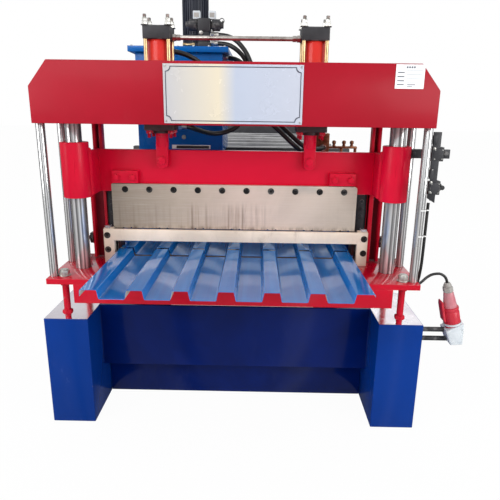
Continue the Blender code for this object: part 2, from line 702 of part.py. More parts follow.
def build_cylinders(red, black, gold, steel):
    flange_top = TOP_BOTTOM - SEAT
    flange_low = flange_top - FLANGE_THICK
    bore = PISTON_RADIUS + SEAT
    cap_low = TUBE_TOP + SEAT
    cap_high = cap_low + CAP_HEIGHT
    for side, word in sides():
        x, y = side * CYLINDER_X, y_at(CYLINDER_SETBACK)
        room = PISTON_TOP + BORE_ROOM
        profile = [(0, room), (circumscribed(bore), room), (circumscribed(bore), flange_low),
                   (TUBE_RADIUS, flange_low), (TUBE_RADIUS, TUBE_TOP), (0, TUBE_TOP)]
        tube = turned(f"cylinder_{word}", profile, red, (x, y, 0))
        half = FLANGE_SIZE / 2
        flange = block(f"flange_{word}", (x - half, y - half, flange_low),
                       (x + half, y + half, flange_top), red)
        cut(flange, rod(f"flange_bore_{word}", (circumscribed(bore) + TUBE_RADIUS) / 2, flange_low - PAST,
                        flange_top + PAST, red, (x, y, 0)))
        join(tube, flange)
        half = CAP_SIZE / 2
        cap = block(f"cap_{word}", (x - half, y - half, cap_low), (x + half, y + half, cap_high), black)
        for number, place in enumerate(stay_places(x, y), 1):
            nut = rod(f"stay_tail_{word}_{number}", STAY_NUT_RADIUS, flange_low - STAY_TAIL,
                      flange_low + FLANGE_THICK / 2, red, place, sides=NUT_ROUND)
            join(tube, nut)
            stay = rod(f"stay_{word}_{number}", STAY_RADIUS, flange_top + SEAT, cap_low + CAP_HEIGHT / 2,
                       gold, place, sides=SMALL_ROUND)
            head = rod(f"stay_head_{word}_{number}", STAY_NUT_RADIUS, cap_high - CAP_HEIGHT / 2,
                       cap_high + STAY_HEAD, steel, place, sides=NUT_ROUND)
            join(cap, stay)
            join(cap, head)
    reach = CYLINDER_X - CAP_SIZE / 2 - SEAT
    rod("cap_pipe", PIPE_RADIUS, -reach, reach, steel,
        (0, y_at(CYLINDER_SETBACK), cap_high - PIPE_DROP), axis="X", sides=SMALL_ROUND)


def build_switches(group, black):
    start = COLUMN_X + SLEEVE_RADIUS + SEAT
    centre = y_at(COLUMN_SETBACK)
    half = STRIKER_THICK / 2
    striker = block("striker", (start, centre - half, STRIKER_BOTTOM),
                    (start + STRIKER_REACH, centre + half, STRIKER_BOTTOM + STRIKER_HEIGHT), black)
    hang(striker, group)
    rod_y = y_at(ROD_SETBACKS[0])
    front, back = rod_y - BRACKET_THICK / 2, rod_y + BRACKET_THICK / 2
    bracket = block("switch_bracket", (BRACKET_X, front, BRACKET_BOTTOM),
                    (BRACKET_X + BRACKET_WIDTH, back, BRACKET_TOP), black)
    clip_start = ROD_X + ROD_RADIUS + SEAT
    for number, height in enumerate((LOWER_SWITCH_BOTTOM, UPPER_SWITCH_BOTTOM), 1):
        clip_low = height + SWITCH_HEIGHT + CLIP_INSET
        join(bracket, block(f"clip_{number}", (clip_start, rod_y - BRACKET_THICK, clip_low),
                            (BRACKET_X + CLIP_INSET, rod_y + BRACKET_THICK, clip_low + CLIP_HEIGHT), black))
        join(bracket, block(f"switch_{number}", (BRACKET_X + SWITCH_INSET, rod_y, height),
                            (BRACKET_X + SWITCH_INSET + SWITCH_WIDTH, back + SWITCH_DEPTH,
                             height + SWITCH_HEIGHT), black))


def build_inlet(grey, red):
    """The inlet box that two arms hold beside the right leg, with the mains plug in it."""
    place = Vector((PLUG_X, y_at(PLUG_SETBACK), PLUG_Z))
    lean = math.radians(-PLUG_LEAN)
    low = y_at(PLUG_SETBACK) - INLET_DEPTH / 2
    outline = [(PLUG_X + x, PLUG_Z + z) for x, z in INLET_CORNERS]
    box = prism("inlet_box", outline, INLET_DEPTH, grey, (0, low, 0))
    inner = LEG_OUTER + SEAT
    edge = ARM_PLATE_EDGE
    heights = [PLUG_Z - drop for drop in ARM_DROPS]
    plate = block("arm_plate", (inner, place.y - edge, min(heights) - edge),
                  (inner + ARM_PLATE_THICK, place.y + edge, max(heights) + edge), grey)
    join(box, plate)
    for number, height in enumerate(heights, 1):
        join(box, rod(f"arm_{number}", ARM_RADIUS, inner + ARM_PLATE_THICK / 2, PLUG_X, grey,
                      (0, place.y, height), axis="X", sides=SMALL_ROUND))
    well = rod("plug_well", circumscribed(PLUG_BODY_RADIUS + SEAT), -PLUG_SUNK - SEAT, PAST, grey, place)
    well.rotation_euler.y = lean
    cut(box, well)
    profile = [(0, -PLUG_SUNK), (PLUG_BODY_RADIUS, -PLUG_SUNK), (PLUG_BODY_RADIUS, PLUG_BODY_TOP),
               (PLUG_CONE_RADIUS, PLUG_BODY_TOP), (PLUG_NECK_RADIUS, PLUG_NECK_TOP),
               (GLAND_RADIUS, PLUG_NECK_TOP), (GLAND_RADIUS, GLAND_TOP),
               (GLAND_TIP_RADIUS, PLUG_TOP), (0, PLUG_TOP)]
    plug = turned("mains_plug", profile, red, place)
    plug.rotation_euler.y = lean


def sheet_outline(half, thick):
    """Top line of the ribbed sheet from left to right, then its underside back."""
    top = [(-half, SHEET_VALLEY - SHEET_LIP), (-half, SHEET_VALLEY)]
    under = [(-half + thick, SHEET_VALLEY - SHEET_LIP), (-half + thick, SHEET_VALLEY - thick)]
    for x in rib_centres():
        foot, crest = RIB_FOOT_WIDTH / 2, RIB_TOP_WIDTH / 2
        peak = SHEET_VALLEY + RIB_HEIGHT
        top += [(x - foot, SHEET_VALLEY), (x - crest, peak), (x + crest, peak), (x + foot, SHEET_VALLEY)]
        under += [(x - foot + thick, SHEET_VALLEY - thick), (x - crest + thick, peak - thick),
                  (x + crest - thick, peak - thick), (x + foot - thick, SHEET_VALLEY - thick)]
    top += [(half, SHEET_VALLEY), (half, SHEET_VALLEY - SHEET_LIP)]
    under += [(half - thick, SHEET_VALLEY - thick), (half - thick, SHEET_VALLEY - SHEET_LIP)]
    return top + under[::-1]


def build_sheet(blue):
    """The sheet, parted in the plane that the blade moves in."""
    outline = sheet_outline(SHEET_HALF, SHEET_THICK)
    front_end = blade_setback() - RUN
    rear_start = blade_setback() + BLADE_THICK + RUN
    prism("sheet_out", outline, SHEET_OVERHANG + front_end, blue, (0, y_at(-SHEET_OVERHANG), 0))
    prism("sheet_in", outline, SIDE_BACK - rear_start, blue, (0, y_at(rear_start), 0))


def build_former_base(blue):
    """Two long beams joined by cross members, butted against the shear's legs."""
    start = y_at(LEG_SETBACK + LEG_DEPTH) + SEAT
    inner, outer = BASE_HALF - BASE_WIDTH / 2, BASE_HALF + BASE_WIDTH / 2
    base = block("former_base", (-outer, start, 0), (-inner, y_at(BASE_BACK), BASE_HEIGHT), blue)
    join(base, block("base_beam", (inner, start, 0), (outer, y_at(BASE_BACK), BASE_HEIGHT), blue))
    for number in range(CROSS_COUNT):
        setback = CROSS_FIRST + CROSS_PITCH * number
        join(base, block(f"cross_member_{number}", (-BASE_HALF, y_at(setback), CROSS_BOTTOM),
                         (BASE_HALF, y_at(setback + CROSS_SIZE), CROSS_BOTTOM + CROSS_SIZE), blue))


def stand_setbacks():
    return [STAND_FIRST + STAND_PITCH * i for i in range(STAND_COUNT)]


def lower_axis():
    return SHEET_VALLEY - SHEET_THICK - RUN - ROLL_LOW


def upper_axis():
    return SHEET_VALLEY + RUN + ROLL_HIGH


def build_side_frames(blue):
    hole = circumscribed(JOURNAL_RADIUS + JOURNAL_PLAY, MEDIUM_ROUND)
    for side, word in sides():
        x0, x1 = span(side, BASE_HALF - SIDE_THICK / 2, BASE_HALF + SIDE_THICK / 2)
        frame = block(f"side_frame_{word}", (x0, y_at(SIDE_FRONT), BASE_HEIGHT + SEAT),
                      (x1, y_at(SIDE_BACK), SIDE_TOP), blue)
        for number, setback in enumerate(stand_setbacks(), 1):
            for height, row in ((lower_axis(), "low"), (upper_axis(), "high")):
                cut(frame, rod(f"journal_hole_{word}_{row}_{number}", hole, x0 - PAST, x1 + PAST, blue,
                               (0, y_at(setback), height), axis="X", sides=MEDIUM_ROUND))


def rail_top():
    return SIDE_TOP + SEAT + RAIL_BAR


def bearer_top():
    return rail_top() + BEARER_SIZE


def build_ladder(steel):
    """Rails on the side frames, tie bars between the stands, two tank bearers and an end plate."""
    low = SIDE_TOP + SEAT
    outer = BASE_HALF + RAIL_BAR / 2
    ladder = block("tie_ladder", (-outer, y_at(SIDE_FRONT), low),
                   (-outer + RAIL_BAR, y_at(SIDE_BACK), rail_top()), steel)
    join(ladder, block("ladder_rail", (outer - RAIL_BAR, y_at(SIDE_FRONT), low),
                       (outer, y_at(SIDE_BACK), rail_top()), steel))
    for number in range(STAND_COUNT + 1):
        setback = STAND_FIRST + STAND_PITCH * (number - 0.5)
        join(ladder, rod(f"tie_bar_{number}", TIE_RADIUS, -BASE_HALF, BASE_HALF, steel,
                         (0, y_at(setback), TIE_TOP - TIE_RADIUS), axis="X", sides=MEDIUM_ROUND))
    front = TANK_FRONT + BEARER_INSET
    for number, setback in enumerate((front, TANK_FRONT + TANK_DEPTH - BEARER_SIZE), 1):
        join(ladder, block(f"tank_bearer_{number}", (-outer, y_at(setback), rail_top() - RAIL_BAR / 2),
                           (outer, y_at(setback + BEARER_SIZE), bearer_top()), steel))
    join(ladder, block("end_plate", (-outer, y_at(SIDE_BACK - END_PLATE_THICK), low),
                       (outer, y_at(SIDE_BACK), END_PLATE_TOP), steel))


def roll_profile(upper):
    """Radius along the shaft, from its left end to its right end."""
    face_end = BASE_HALF - SIDE_THICK / 2 - ROLL_END_GAP if upper else SHEET_HALF - SHEET_THICK - RUN
    shaft_end = BASE_HALF + SIDE_THICK / 2 + JOURNAL_STAND
    valley, crest = (ROLL_HIGH, ROLL_HIGH - RIB_HEIGHT) if upper else (ROLL_LOW, ROLL_LOW + RIB_HEIGHT)
    widen = ROLL_SIDE_GAP if upper else -ROLL_SIDE_GAP - SHEET_THICK
    points = [(0, -shaft_end), (JOURNAL_RADIUS, -shaft_end), (JOURNAL_RADIUS, -face_end), (valley, -face_end)]
    for x in rib_centres():
        foot, top = RIB_FOOT_WIDTH / 2 + widen, RIB_TOP_WIDTH / 2 + widen
        points += [(valley, x - foot), (crest, x - top), (crest, x + top), (valley, x + foot)]
    points += [(valley, face_end), (JOURNAL_RADIUS, face_end), (JOURNAL_RADIUS, shaft_end), (0, shaft_end)]
    return points


def build_rolls(chrome):
    for number, setback in enumerate(stand_setbacks(), 1):
        turned(f"lower_roll_{number}", roll_profile(False), chrome,
               (0, y_at(setback), lower_axis()), axis="X", sides=SMALL_ROUND)
        turned(f"upper_roll_{number}", roll_profile(True), chrome,
               (0, y_at(setback), upper_axis()), axis="X", sides=SMALL_ROUND)


def build_power_pack(blue, black):
    bottom = bearer_top() + SEAT
    block("tank", (TANK_LEFT, y_at(TANK_FRONT), bottom),
          (TANK_RIGHT, y_at(TANK_FRONT + TANK_DEPTH), TANK_TOP), blue)
    block("tank_lid", (TANK_LEFT - LID_OVER_X, y_at(TANK_FRONT - LID_OVER_Y), TANK_TOP + SEAT),
          (TANK_RIGHT + LID_OVER_X, y_at(TANK_FRONT + TANK_DEPTH + LID_OVER_Y), TANK_TOP + LID_THICK), blue)
    base = TANK_TOP + LID_THICK + SEAT
    turned("motor", [(0, base), (MOTOR_FLANGE_RADIUS, base), (MOTOR_FLANGE_RADIUS, base + MOTOR_FLANGE),
                     (MOTOR_RADIUS, base + MOTOR_FLANGE), (MOTOR_RADIUS, base + MOTOR_HEIGHT),
                     (0, base + MOTOR_HEIGHT)], black, (MOTOR_X, y_at(MOTOR_SETBACK), 0))
    half, y = VALVE_WIDTH / 2, y_at(VALVE_SETBACK)
    valve = block("valve", (VALVE_X - half, y - VALVE_DEPTH / 2, base),
                  (VALVE_X + half, y + VALVE_DEPTH / 2, base + VALVE_HEIGHT), black)
    reach = half + COIL_LENGTH
    join(valve, rod("valve_coils", COIL_RADIUS, -reach, reach, black,
                    (VALVE_X, y, base + COIL_RISE), axis="X", sides=MEDIUM_ROUND))
    half, low = CONNECTOR_SIZE / 2, base + COIL_RISE
    for side, word in sides():
        x = VALVE_X + side * CONNECTOR_OUT
        join(valve, block(f"connector_{word}", (x - half, y - half, low),
                          (x + half, y + half, low + COIL_RADIUS + CONNECTOR_SIZE), black))


def build_distributor(brass):
    """A block with a long bar on small feet, on the front bearer."""
    low = bearer_top() + SEAT
    front = y_at(TANK_FRONT + BEARER_INSET)
    right = DISTRIBUTOR_LEFT + DISTRIBUTOR_WIDTH
    body = block("distributor", (DISTRIBUTOR_LEFT, front, low),
                 (right, front + BEARER_SIZE, low + DISTRIBUTOR_HEIGHT), brass)
    bar_low = low + GAUGE_BAR_RISE
    middle = front + BEARER_SIZE / 2
    half = GAUGE_BAR_FOOT / 2
    join(body, block("gauge_bar", (right - DISTRIBUTOR_WIDTH / 2, middle - GAUGE_BAR_DEPTH / 2, bar_low),
                     (GAUGE_BAR_RIGHT, middle + GAUGE_BAR_DEPTH / 2, bar_low + GAUGE_BAR_THICK), brass))
    for number in (1, 2):
        x = right + (GAUGE_BAR_RIGHT - right) * number / 2 - GAUGE_BAR_FOOT
        join(body, block(f"gauge_foot_{number}", (x, middle - half, low),
                         (x + 2 * half, middle + half, bar_low + GAUGE_BAR_THICK / 2), brass))


def build_cords(rubber):
    cord("switch_lead", LEAD_ROUTE, LEAD_RADIUS, rubber)
    cord("hose_return", RETURN_ROUTE, HOSE_RADIUS, rubber)
    cord("hose_lower", LOWER_ROUTE, HOSE_RADIUS, rubber)
    cord("hose_outer", OUTER_ROUTE, HOSE_RADIUS, rubber)
    cord("hose_inner", INNER_ROUTE, HOSE_RADIUS, rubber)


def build():
    clear_scene()
    red = paint("red enamel", (0.55, 0.02, 0.04), 0.30)
    bright_red = paint("beam enamel", (0.65, 0.01, 0.05), 0.28)
    blue = paint("blue enamel", (0.0, 0.06, 0.28), 0.25)
    navy = paint("navy enamel", (0.0, 0.01, 0.09), 0.20)
    sheet_blue = paint("coated sheet", (0.0, 0.10, 0.42), 0.25)
    steel = paint("ground steel", (0.55, 0.50, 0.44), 0.35, 1.0)
    chrome = paint("hard chrome", (0.80, 0.80, 0.80), 0.12, 1.0)
    gold = paint("plated stay", (0.70, 0.55, 0.30), 0.30, 1.0)
    tube_red = paint("cylinder enamel", (0.75, 0.06, 0.04), 0.30)
    black = paint("black casting", (0.03, 0.03, 0.035), 0.45)
    white = paint("sign plate", (0.75, 0.76, 0.80), 0.35)
    brass = paint("brown brass", (0.30, 0.16, 0.09), 0.45, 0.8)
    grey = paint("grey plastic", (0.55, 0.58, 0.62), 0.50)
    plug_red = paint("red plastic", (0.55, 0.02, 0.05), 0.40)
    rubber = paint("black rubber", (0.015, 0.014, 0.013), 0.50)
    build_base(blue, navy)
    build_table(red)
    build_portal(steel)
    build_die(steel)
    group = build_cutter(bright_red, steel)
    build_pistons(group, bright_red)
    build_guides(red, chrome)
    build_top_beam(red, white)
    build_cylinders(tube_red, black, gold, steel)
    build_switches(group, black)
    build_inlet(grey, plug_red)
    build_sheet(sheet_blue)
    build_former_base(blue)
    build_side_frames(blue)
    build_ladder(steel)
    build_rolls(chrome)
    build_power_pack(blue, black)
    build_distributor(brass)
    build_cords(rubber)


build()
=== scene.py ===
"""Looks of a roll forming machine: finishes, fasteners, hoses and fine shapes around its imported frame.

Metres, +Z up, in the frame's own axes. X runs across the machine, and +Y runs back against the travel
of the sheet. A setback is a distance behind the table's front edge.
"""
import math

import bmesh
import bpy
from mathutils import Matrix, Vector


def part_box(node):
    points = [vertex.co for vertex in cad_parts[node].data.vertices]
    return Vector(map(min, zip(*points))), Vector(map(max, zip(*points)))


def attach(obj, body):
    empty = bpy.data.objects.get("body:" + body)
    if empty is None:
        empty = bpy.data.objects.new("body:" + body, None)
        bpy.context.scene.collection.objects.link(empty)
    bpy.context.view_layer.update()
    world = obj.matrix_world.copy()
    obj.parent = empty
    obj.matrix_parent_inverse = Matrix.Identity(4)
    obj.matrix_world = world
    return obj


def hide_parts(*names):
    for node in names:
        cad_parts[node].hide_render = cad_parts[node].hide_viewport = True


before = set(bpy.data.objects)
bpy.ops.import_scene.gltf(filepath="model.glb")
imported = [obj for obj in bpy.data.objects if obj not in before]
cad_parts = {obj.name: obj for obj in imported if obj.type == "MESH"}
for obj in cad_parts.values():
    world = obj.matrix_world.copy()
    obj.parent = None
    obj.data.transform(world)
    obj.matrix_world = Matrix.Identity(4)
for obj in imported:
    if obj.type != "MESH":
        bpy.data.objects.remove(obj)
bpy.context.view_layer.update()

# The photograph's viewpoint: lens and sensor in millimetres, angles in degrees.
LENS = 36.554
SENSOR = 36.0
CAMERA_PLACE = (0.0871, -2.1427, 1.2748)
CAMERA_PITCH = 15.74
CAMERA_YAW = 0.72
CAMERA_ROLL = 0.74

# Routes of the lead and the hoses as (X, setback, Z), the same as those of their solids. The lead's last
# two points carry it on inside the plug.
LEAD_RADIUS = 0.0055
HOSE_RADIUS = 0.010
LEAD_ROUTE = (
    (0.7145, 0.040, 0.9447), (0.7145, 0.040, 0.9050), (0.7145, 0.040, 0.8650),
    (0.7145, 0.040, 0.8250), (0.7145, 0.040, 0.7850), (0.7145, 0.0405, 0.7450),
    (0.7145, 0.043, 0.7050), (0.7150, 0.052, 0.6670), (0.7175, 0.070, 0.6340),
    (0.7240, 0.094, 0.6120), (0.7380, 0.118, 0.6030), (0.7570, 0.135, 0.6085),
    (0.7770, 0.146, 0.6215), (0.7985, 0.150, 0.6330), (0.8221, 0.150, 0.6371),
    (0.8357, 0.150, 0.6347), (0.8478, 0.150, 0.6277), (0.8567, 0.150, 0.6171),
    (0.86095, 0.150, 0.60648), (0.86236, 0.150, 0.60065), (0.87412, 0.150, 0.55204),
    (0.88588, 0.150, 0.50343))
RETURN_ROUTE = (
    (-0.3180, 0.3038, 1.5235), (-0.3180, 0.3220, 1.5235), (-0.3170, 0.3420, 1.5195),
    (-0.3120, 0.3620, 1.5110), (-0.3020, 0.3800, 1.5020), (-0.2860, 0.3950, 1.4945),
    (-0.2650, 0.4050, 1.4895), (-0.2380, 0.4120, 1.4850), (-0.2110, 0.4200, 1.4770),
    (-0.1870, 0.4300, 1.4667), (-0.1680, 0.4400, 1.4550), (-0.1520, 0.4520, 1.4410),
    (-0.1390, 0.4660, 1.4240), (-0.1290, 0.4830, 1.4060), (-0.1220, 0.5030, 1.3920),
    (-0.1195, 0.5220, 1.3860), (-0.1195, 0.5397, 1.3860))
LOWER_ROUTE = (
    (-0.1272, 0.6000, 1.5430), (-0.1100, 0.6000, 1.5430), (-0.0920, 0.5975, 1.5425),
    (-0.0730, 0.5890, 1.5405), (-0.0530, 0.5770, 1.5360), (-0.0350, 0.5670, 1.5290),
    (-0.0160, 0.5620, 1.5170), (0.0080, 0.5610, 1.4970), (0.0290, 0.5620, 1.4675),
    (0.0410, 0.5620, 1.4300), (0.0470, 0.5560, 1.3890), (0.0490, 0.5410, 1.3440),
    (0.0450, 0.5170, 1.3000), (0.0350, 0.4900, 1.2560), (0.0170, 0.4660, 1.2180),
    (-0.0080, 0.4510, 1.1900), (-0.0370, 0.4460, 1.1745), (-0.0680, 0.4400, 1.1655),
    (-0.0980, 0.4260, 1.1625), (-0.1270, 0.4010, 1.1670), (-0.1520, 0.3690, 1.1760),
    (-0.1720, 0.3360, 1.1850), (-0.1920, 0.3130, 1.1930), (-0.2150, 0.3020, 1.1970),
    (-0.2348, 0.3020, 1.1970))
OUTER_ROUTE = (
    (-0.1272, 0.6000, 1.5775), (-0.1080, 0.6000, 1.5775), (-0.0880, 0.5985, 1.5770),
    (-0.0680, 0.5910, 1.5745), (-0.0480, 0.5780, 1.5690), (-0.0280, 0.5660, 1.5600),
    (-0.0100, 0.5590, 1.5480), (0.0080, 0.5540, 1.5300), (0.0270, 0.5500, 1.5060),
    (0.0430, 0.5450, 1.4760), (0.0560, 0.5380, 1.4430), (0.0670, 0.5290, 1.4000),
    (0.0800, 0.5180, 1.3500), (0.1000, 0.5050, 1.3000), (0.1300, 0.4920, 1.2560),
    (0.1620, 0.4800, 1.2220), (0.1980, 0.4700, 1.1880), (0.2270, 0.4660, 1.1620),
    (0.2540, 0.4640, 1.1380), (0.2800, 0.4650, 1.1170), (0.3060, 0.4700, 1.1030),
    (0.3310, 0.4800, 1.0980), (0.3530, 0.4960, 1.0980), (0.3710, 0.5190, 1.0995),
    (0.3820, 0.5460, 1.1000), (0.3850, 0.5600, 1.1000), (0.3850, 0.5747, 1.1000))
INNER_ROUTE = (
    (-0.0727, 0.6000, 1.4840), (-0.0550, 0.6000, 1.4840), (-0.0360, 0.5930, 1.4820),
    (-0.0150, 0.5780, 1.4755), (0.0050, 0.5600, 1.4640), (0.0220, 0.5400, 1.4470),
    (0.0350, 0.5200, 1.4230), (0.0460, 0.5020, 1.3900), (0.0570, 0.4850, 1.3500),
    (0.0720, 0.4700, 1.3000), (0.0970, 0.4580, 1.2520), (0.1310, 0.4500, 1.2160),
    (0.1680, 0.4460, 1.1860), (0.2000, 0.4450, 1.1570), (0.2280, 0.4470, 1.1310),
    (0.2490, 0.4560, 1.1130), (0.2630, 0.4720, 1.1010), (0.2700, 0.4930, 1.0940),
    (0.2750, 0.5190, 1.0910), (0.2800, 0.5450, 1.0900), (0.2874, 0.5725, 1.0900),
    (0.3075, 0.5926, 1.0900), (0.3350, 0.6000, 1.0900), (0.3547, 0.6000, 1.0900))
ROUTE_FINE = 12
ROUTE_STUB = 0.006
CORD_STEP = 2.0

# Edge rounding, and what counts as a narrow face beside an edge.
EDGE = 0.0015
FINE_EDGE = 0.0006
NARROW = 0.004
MERGE = 0.00002
SMOOTH = 34
ROUND = 64

FRONT_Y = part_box("table")[0].y


def y_at(setback):
    """Y at a distance behind the table's front edge."""
    return FRONT_Y + setback


class Wire:
    """One shader socket. Arithmetic on it adds the Math nodes."""

    def __init__(self, graph, socket):
        self.graph = graph
        self.socket = socket

    def math(self, operation, first, second):
        return self.graph.node("ShaderNodeMath", {"operation": operation}, {0: first, 1: second})

    def __add__(self, other):
        return self.math("ADD", self, other)

    __radd__ = __add__

    def __sub__(self, other):
        return self.math("SUBTRACT", self, other)

    def __rsub__(self, other):
        return self.math("SUBTRACT", other, self)

    def __mul__(self, other):
        return self.math("MULTIPLY", self, other)

    __rmul__ = __mul__

    def above(self, level):
        return self.math("GREATER_THAN", self, level)

    def ramp(self, low, high):
        """0 below low, 1 above high, smooth between them."""
        return self.graph.node("ShaderNodeMapRange", {"interpolation_type": "SMOOTHSTEP"},
                               {0: self, 1: low, 2: high, 3: 0.0, 4: 1.0})


class Graph:
    """A node tree with one way to add a node and the few patterns that the finishes share."""

    def __init__(self, tree):
        self.tree = tree

    def node(self, kind, settings=None, values=None, out=0):
        made = self.tree.nodes.new(kind)
        for name, value in (settings or {}).items():
            if name == "stops":
                self.set_stops(made.color_ramp, value)
            else:
                setattr(made, name, value)
        for name, value in (values or {}).items():
            if isinstance(value, Wire):
                self.tree.links.new(value.socket, made.inputs[name])
            else:
                made.inputs[name].default_value = value
        return Wire(self, made.outputs[out])

    def set_stops(self, ramp, stops):
        while len(ramp.elements) > 1:
            ramp.elements.remove(ramp.elements[-1])
        ramp.elements[0].position, ramp.elements[0].color = stops[0]
        for place, colour in stops[1:]:
            ramp.elements.new(place).color = colour

    def place(self, stretch=(1, 1, 1), shift=(0, 0, 0)):
        point = self.node("ShaderNodeTexCoord", out=3)
        return self.node("ShaderNodeMapping", {}, {"Vector": point, "Scale": stretch, "Location": shift})

    def noise(self, scale, detail=3.0, roughness=0.5, stretch=(1, 1, 1), twist=0.0, shift=(0, 0, 0)):
        return self.node("ShaderNodeTexNoise", {},
                         {"Vector": self.place(stretch, shift), "Scale": scale, "Detail": detail,
                          "Roughness": roughness, "Distortion": twist})

    def cells(self, scale, stretch=(1, 1, 1)):
        return self.node("ShaderNodeTexVoronoi", {"feature": "F1"},
                         {"Vector": self.place(stretch), "Scale": scale})

    def axis(self, name):
        split = self.node("ShaderNodeSeparateXYZ", {}, {0: self.node("ShaderNodeTexCoord", out=3)},
                          out="XYZ".index(name))
        return split

    def worn(self):
        """1 along the rounded edges of a piece."""
        return self.node("ShaderNodeAttribute", {"attribute_name": "edge"}, out=2)

    def mix(self, share, first, second):
        return self.node("ShaderNodeMix", {"data_type": "RGBA"}, {0: share, 6: first, 7: second}, out=2)

    def bump(self, height, strength, distance, under=None):
        values = {"Height": height, "Strength": strength, "Distance": distance}
        if under is not None:
            values["Normal"] = under
        return self.node("ShaderNodeBump", {}, values)


class Finish(Graph):
    """A material with one Principled shader."""

    def __init__(self, name):
        self.material = bpy.data.materials.new(name)
        self.material.use_nodes = True
        super().__init__(self.material.node_tree)
        self.shader = self.tree.nodes["Principled BSDF"]

    def set(self, **values):
        for name, value in values.items():
            socket = self.shader.inputs[name.replace("_", " ")]
            if isinstance(value, Wire):
                self.tree.links.new(value.socket, socket)
            else:
                socket.default_value = value
        return self


def tone(red, green, blue):
    """A colour of a screen, 0 to 255, as linear light."""
    shares = [value / 255 for value in (red, green, blue)]
    light = [v / 12.92 if v < 10 / 255 else ((v + 0.055) / 1.055) ** 2.4 for v in shares]
    return (*light, 1.0)


def enamel(name, colour, deep, gloss=0.24, coat=0.5, peel=0.06, chips=0.66, dust=0.10):
    """Sprayed gloss paint: uneven tone, orange peel, dust in the film and chipped edges."""
    f = Finish(name)
    cloud = f.noise(2.2, 4.0, 0.6, twist=0.4)
    base = f.mix(cloud.ramp(0.32, 0.70), deep, colour)
    specks = f.noise(190.0, 2.0, 0.7).ramp(0.70, 0.78)
    smear = f.noise(7.0, 5.0, 0.65, stretch=(1, 1, 0.35), shift=(3, 1, 5)).ramp(0.56, 0.80)
    pale = tuple(0.55 * v + 0.45 * 0.55 for v in colour[:3]) + (1.0,)
    base = f.mix(smear * dust, base, pale)
    base = f.mix(specks * (dust * 1.6), base, pale)
    chip = f.worn() * f.noise(46.0, 4.0, 0.7).above(chips)
    base = f.mix(chip * 0.75, base, tone(120, 104, 98))
    rough = smear * 0.16 + specks * 0.12 + chip * 0.25 + gloss
    film = f.bump(f.noise(120.0, 2.0, 0.5), peel, 0.0012)
    film = f.bump(f.noise(9.0, 2.0, 0.4), peel * 0.8, 0.010, film)
    return f.set(Base_Color=base, Roughness=rough, Coat_Weight=coat, Coat_Roughness=0.10, Coat_IOR=1.32,
                 Specular_IOR_Level=0.16, Normal=film)


def coated_sheet():
    """Colour coated steel: very smooth, faint lengthwise roll marks and soft scuffs."""
    f = Finish("coated sheet")
    long_marks = f.noise(60.0, 3.0, 0.5, stretch=(1, 0.02, 1))
    scuff = f.noise(5.0, 5.0, 0.6, twist=0.6).ramp(0.50, 0.78)
    base = f.mix(long_marks.ramp(0.35, 0.70) * 0.35 + scuff * 0.16, tone(0, 110, 190), tone(0, 134, 214))
    scratch = f.noise(90.0, 2.0, 0.5, stretch=(1, 0.012, 1), shift=(0, 4, 0)).above(0.70)
    base = f.mix(scratch * 0.25, base, tone(90, 160, 220))
    film = f.bump(long_marks, 0.05, 0.0006)
    film = f.bump(f.noise(14.0, 2.0, 0.4, stretch=(1, 0.3, 1)), 0.10, 0.004, film)
    return f.set(Base_Color=base, Metallic=0.15, Roughness=scuff * 0.12 + 0.14, Coat_Weight=0.60,
                 Coat_Roughness=0.06, Specular_IOR_Level=0.45, Normal=film)


def ground_steel(name, light, dark, stain, along=(0.02, 1, 1), stains=0.5, rough=0.30):
    """Surface-ground steel: fine parallel lines, cloudy tone and brown hand and rust marks."""
    f = Finish(name)
    lines = f.noise(420.0, 3.0, 0.6, stretch=along)
    cloud = f.noise(4.2, 5.0, 0.6, twist=0.5, shift=(2, 0, 1))
    base = f.mix(cloud.ramp(0.30, 0.72), dark, light)
    base = f.mix(lines.ramp(0.40, 0.75) * 0.16, base, light)
    mark = f.noise(9.0, 6.0, 0.7, stretch=(1.3, 1, 0.8), twist=1.2, shift=(7, 2, 0)).ramp(0.54, 0.78)
    base = f.mix(mark * stains, base, stain)
    rim = f.worn() * f.noise(30.0, 3.0, 0.6).ramp(0.35, 0.65)
    base = f.mix(rim * 0.5, base, stain)
    film = f.bump(lines, 0.10, 0.0004)
    return f.set(Base_Color=base, Metallic=0.14 - mark * 0.10, Roughness=lines * 0.12 + mark * 0.20 + rough,
                 Normal=film)


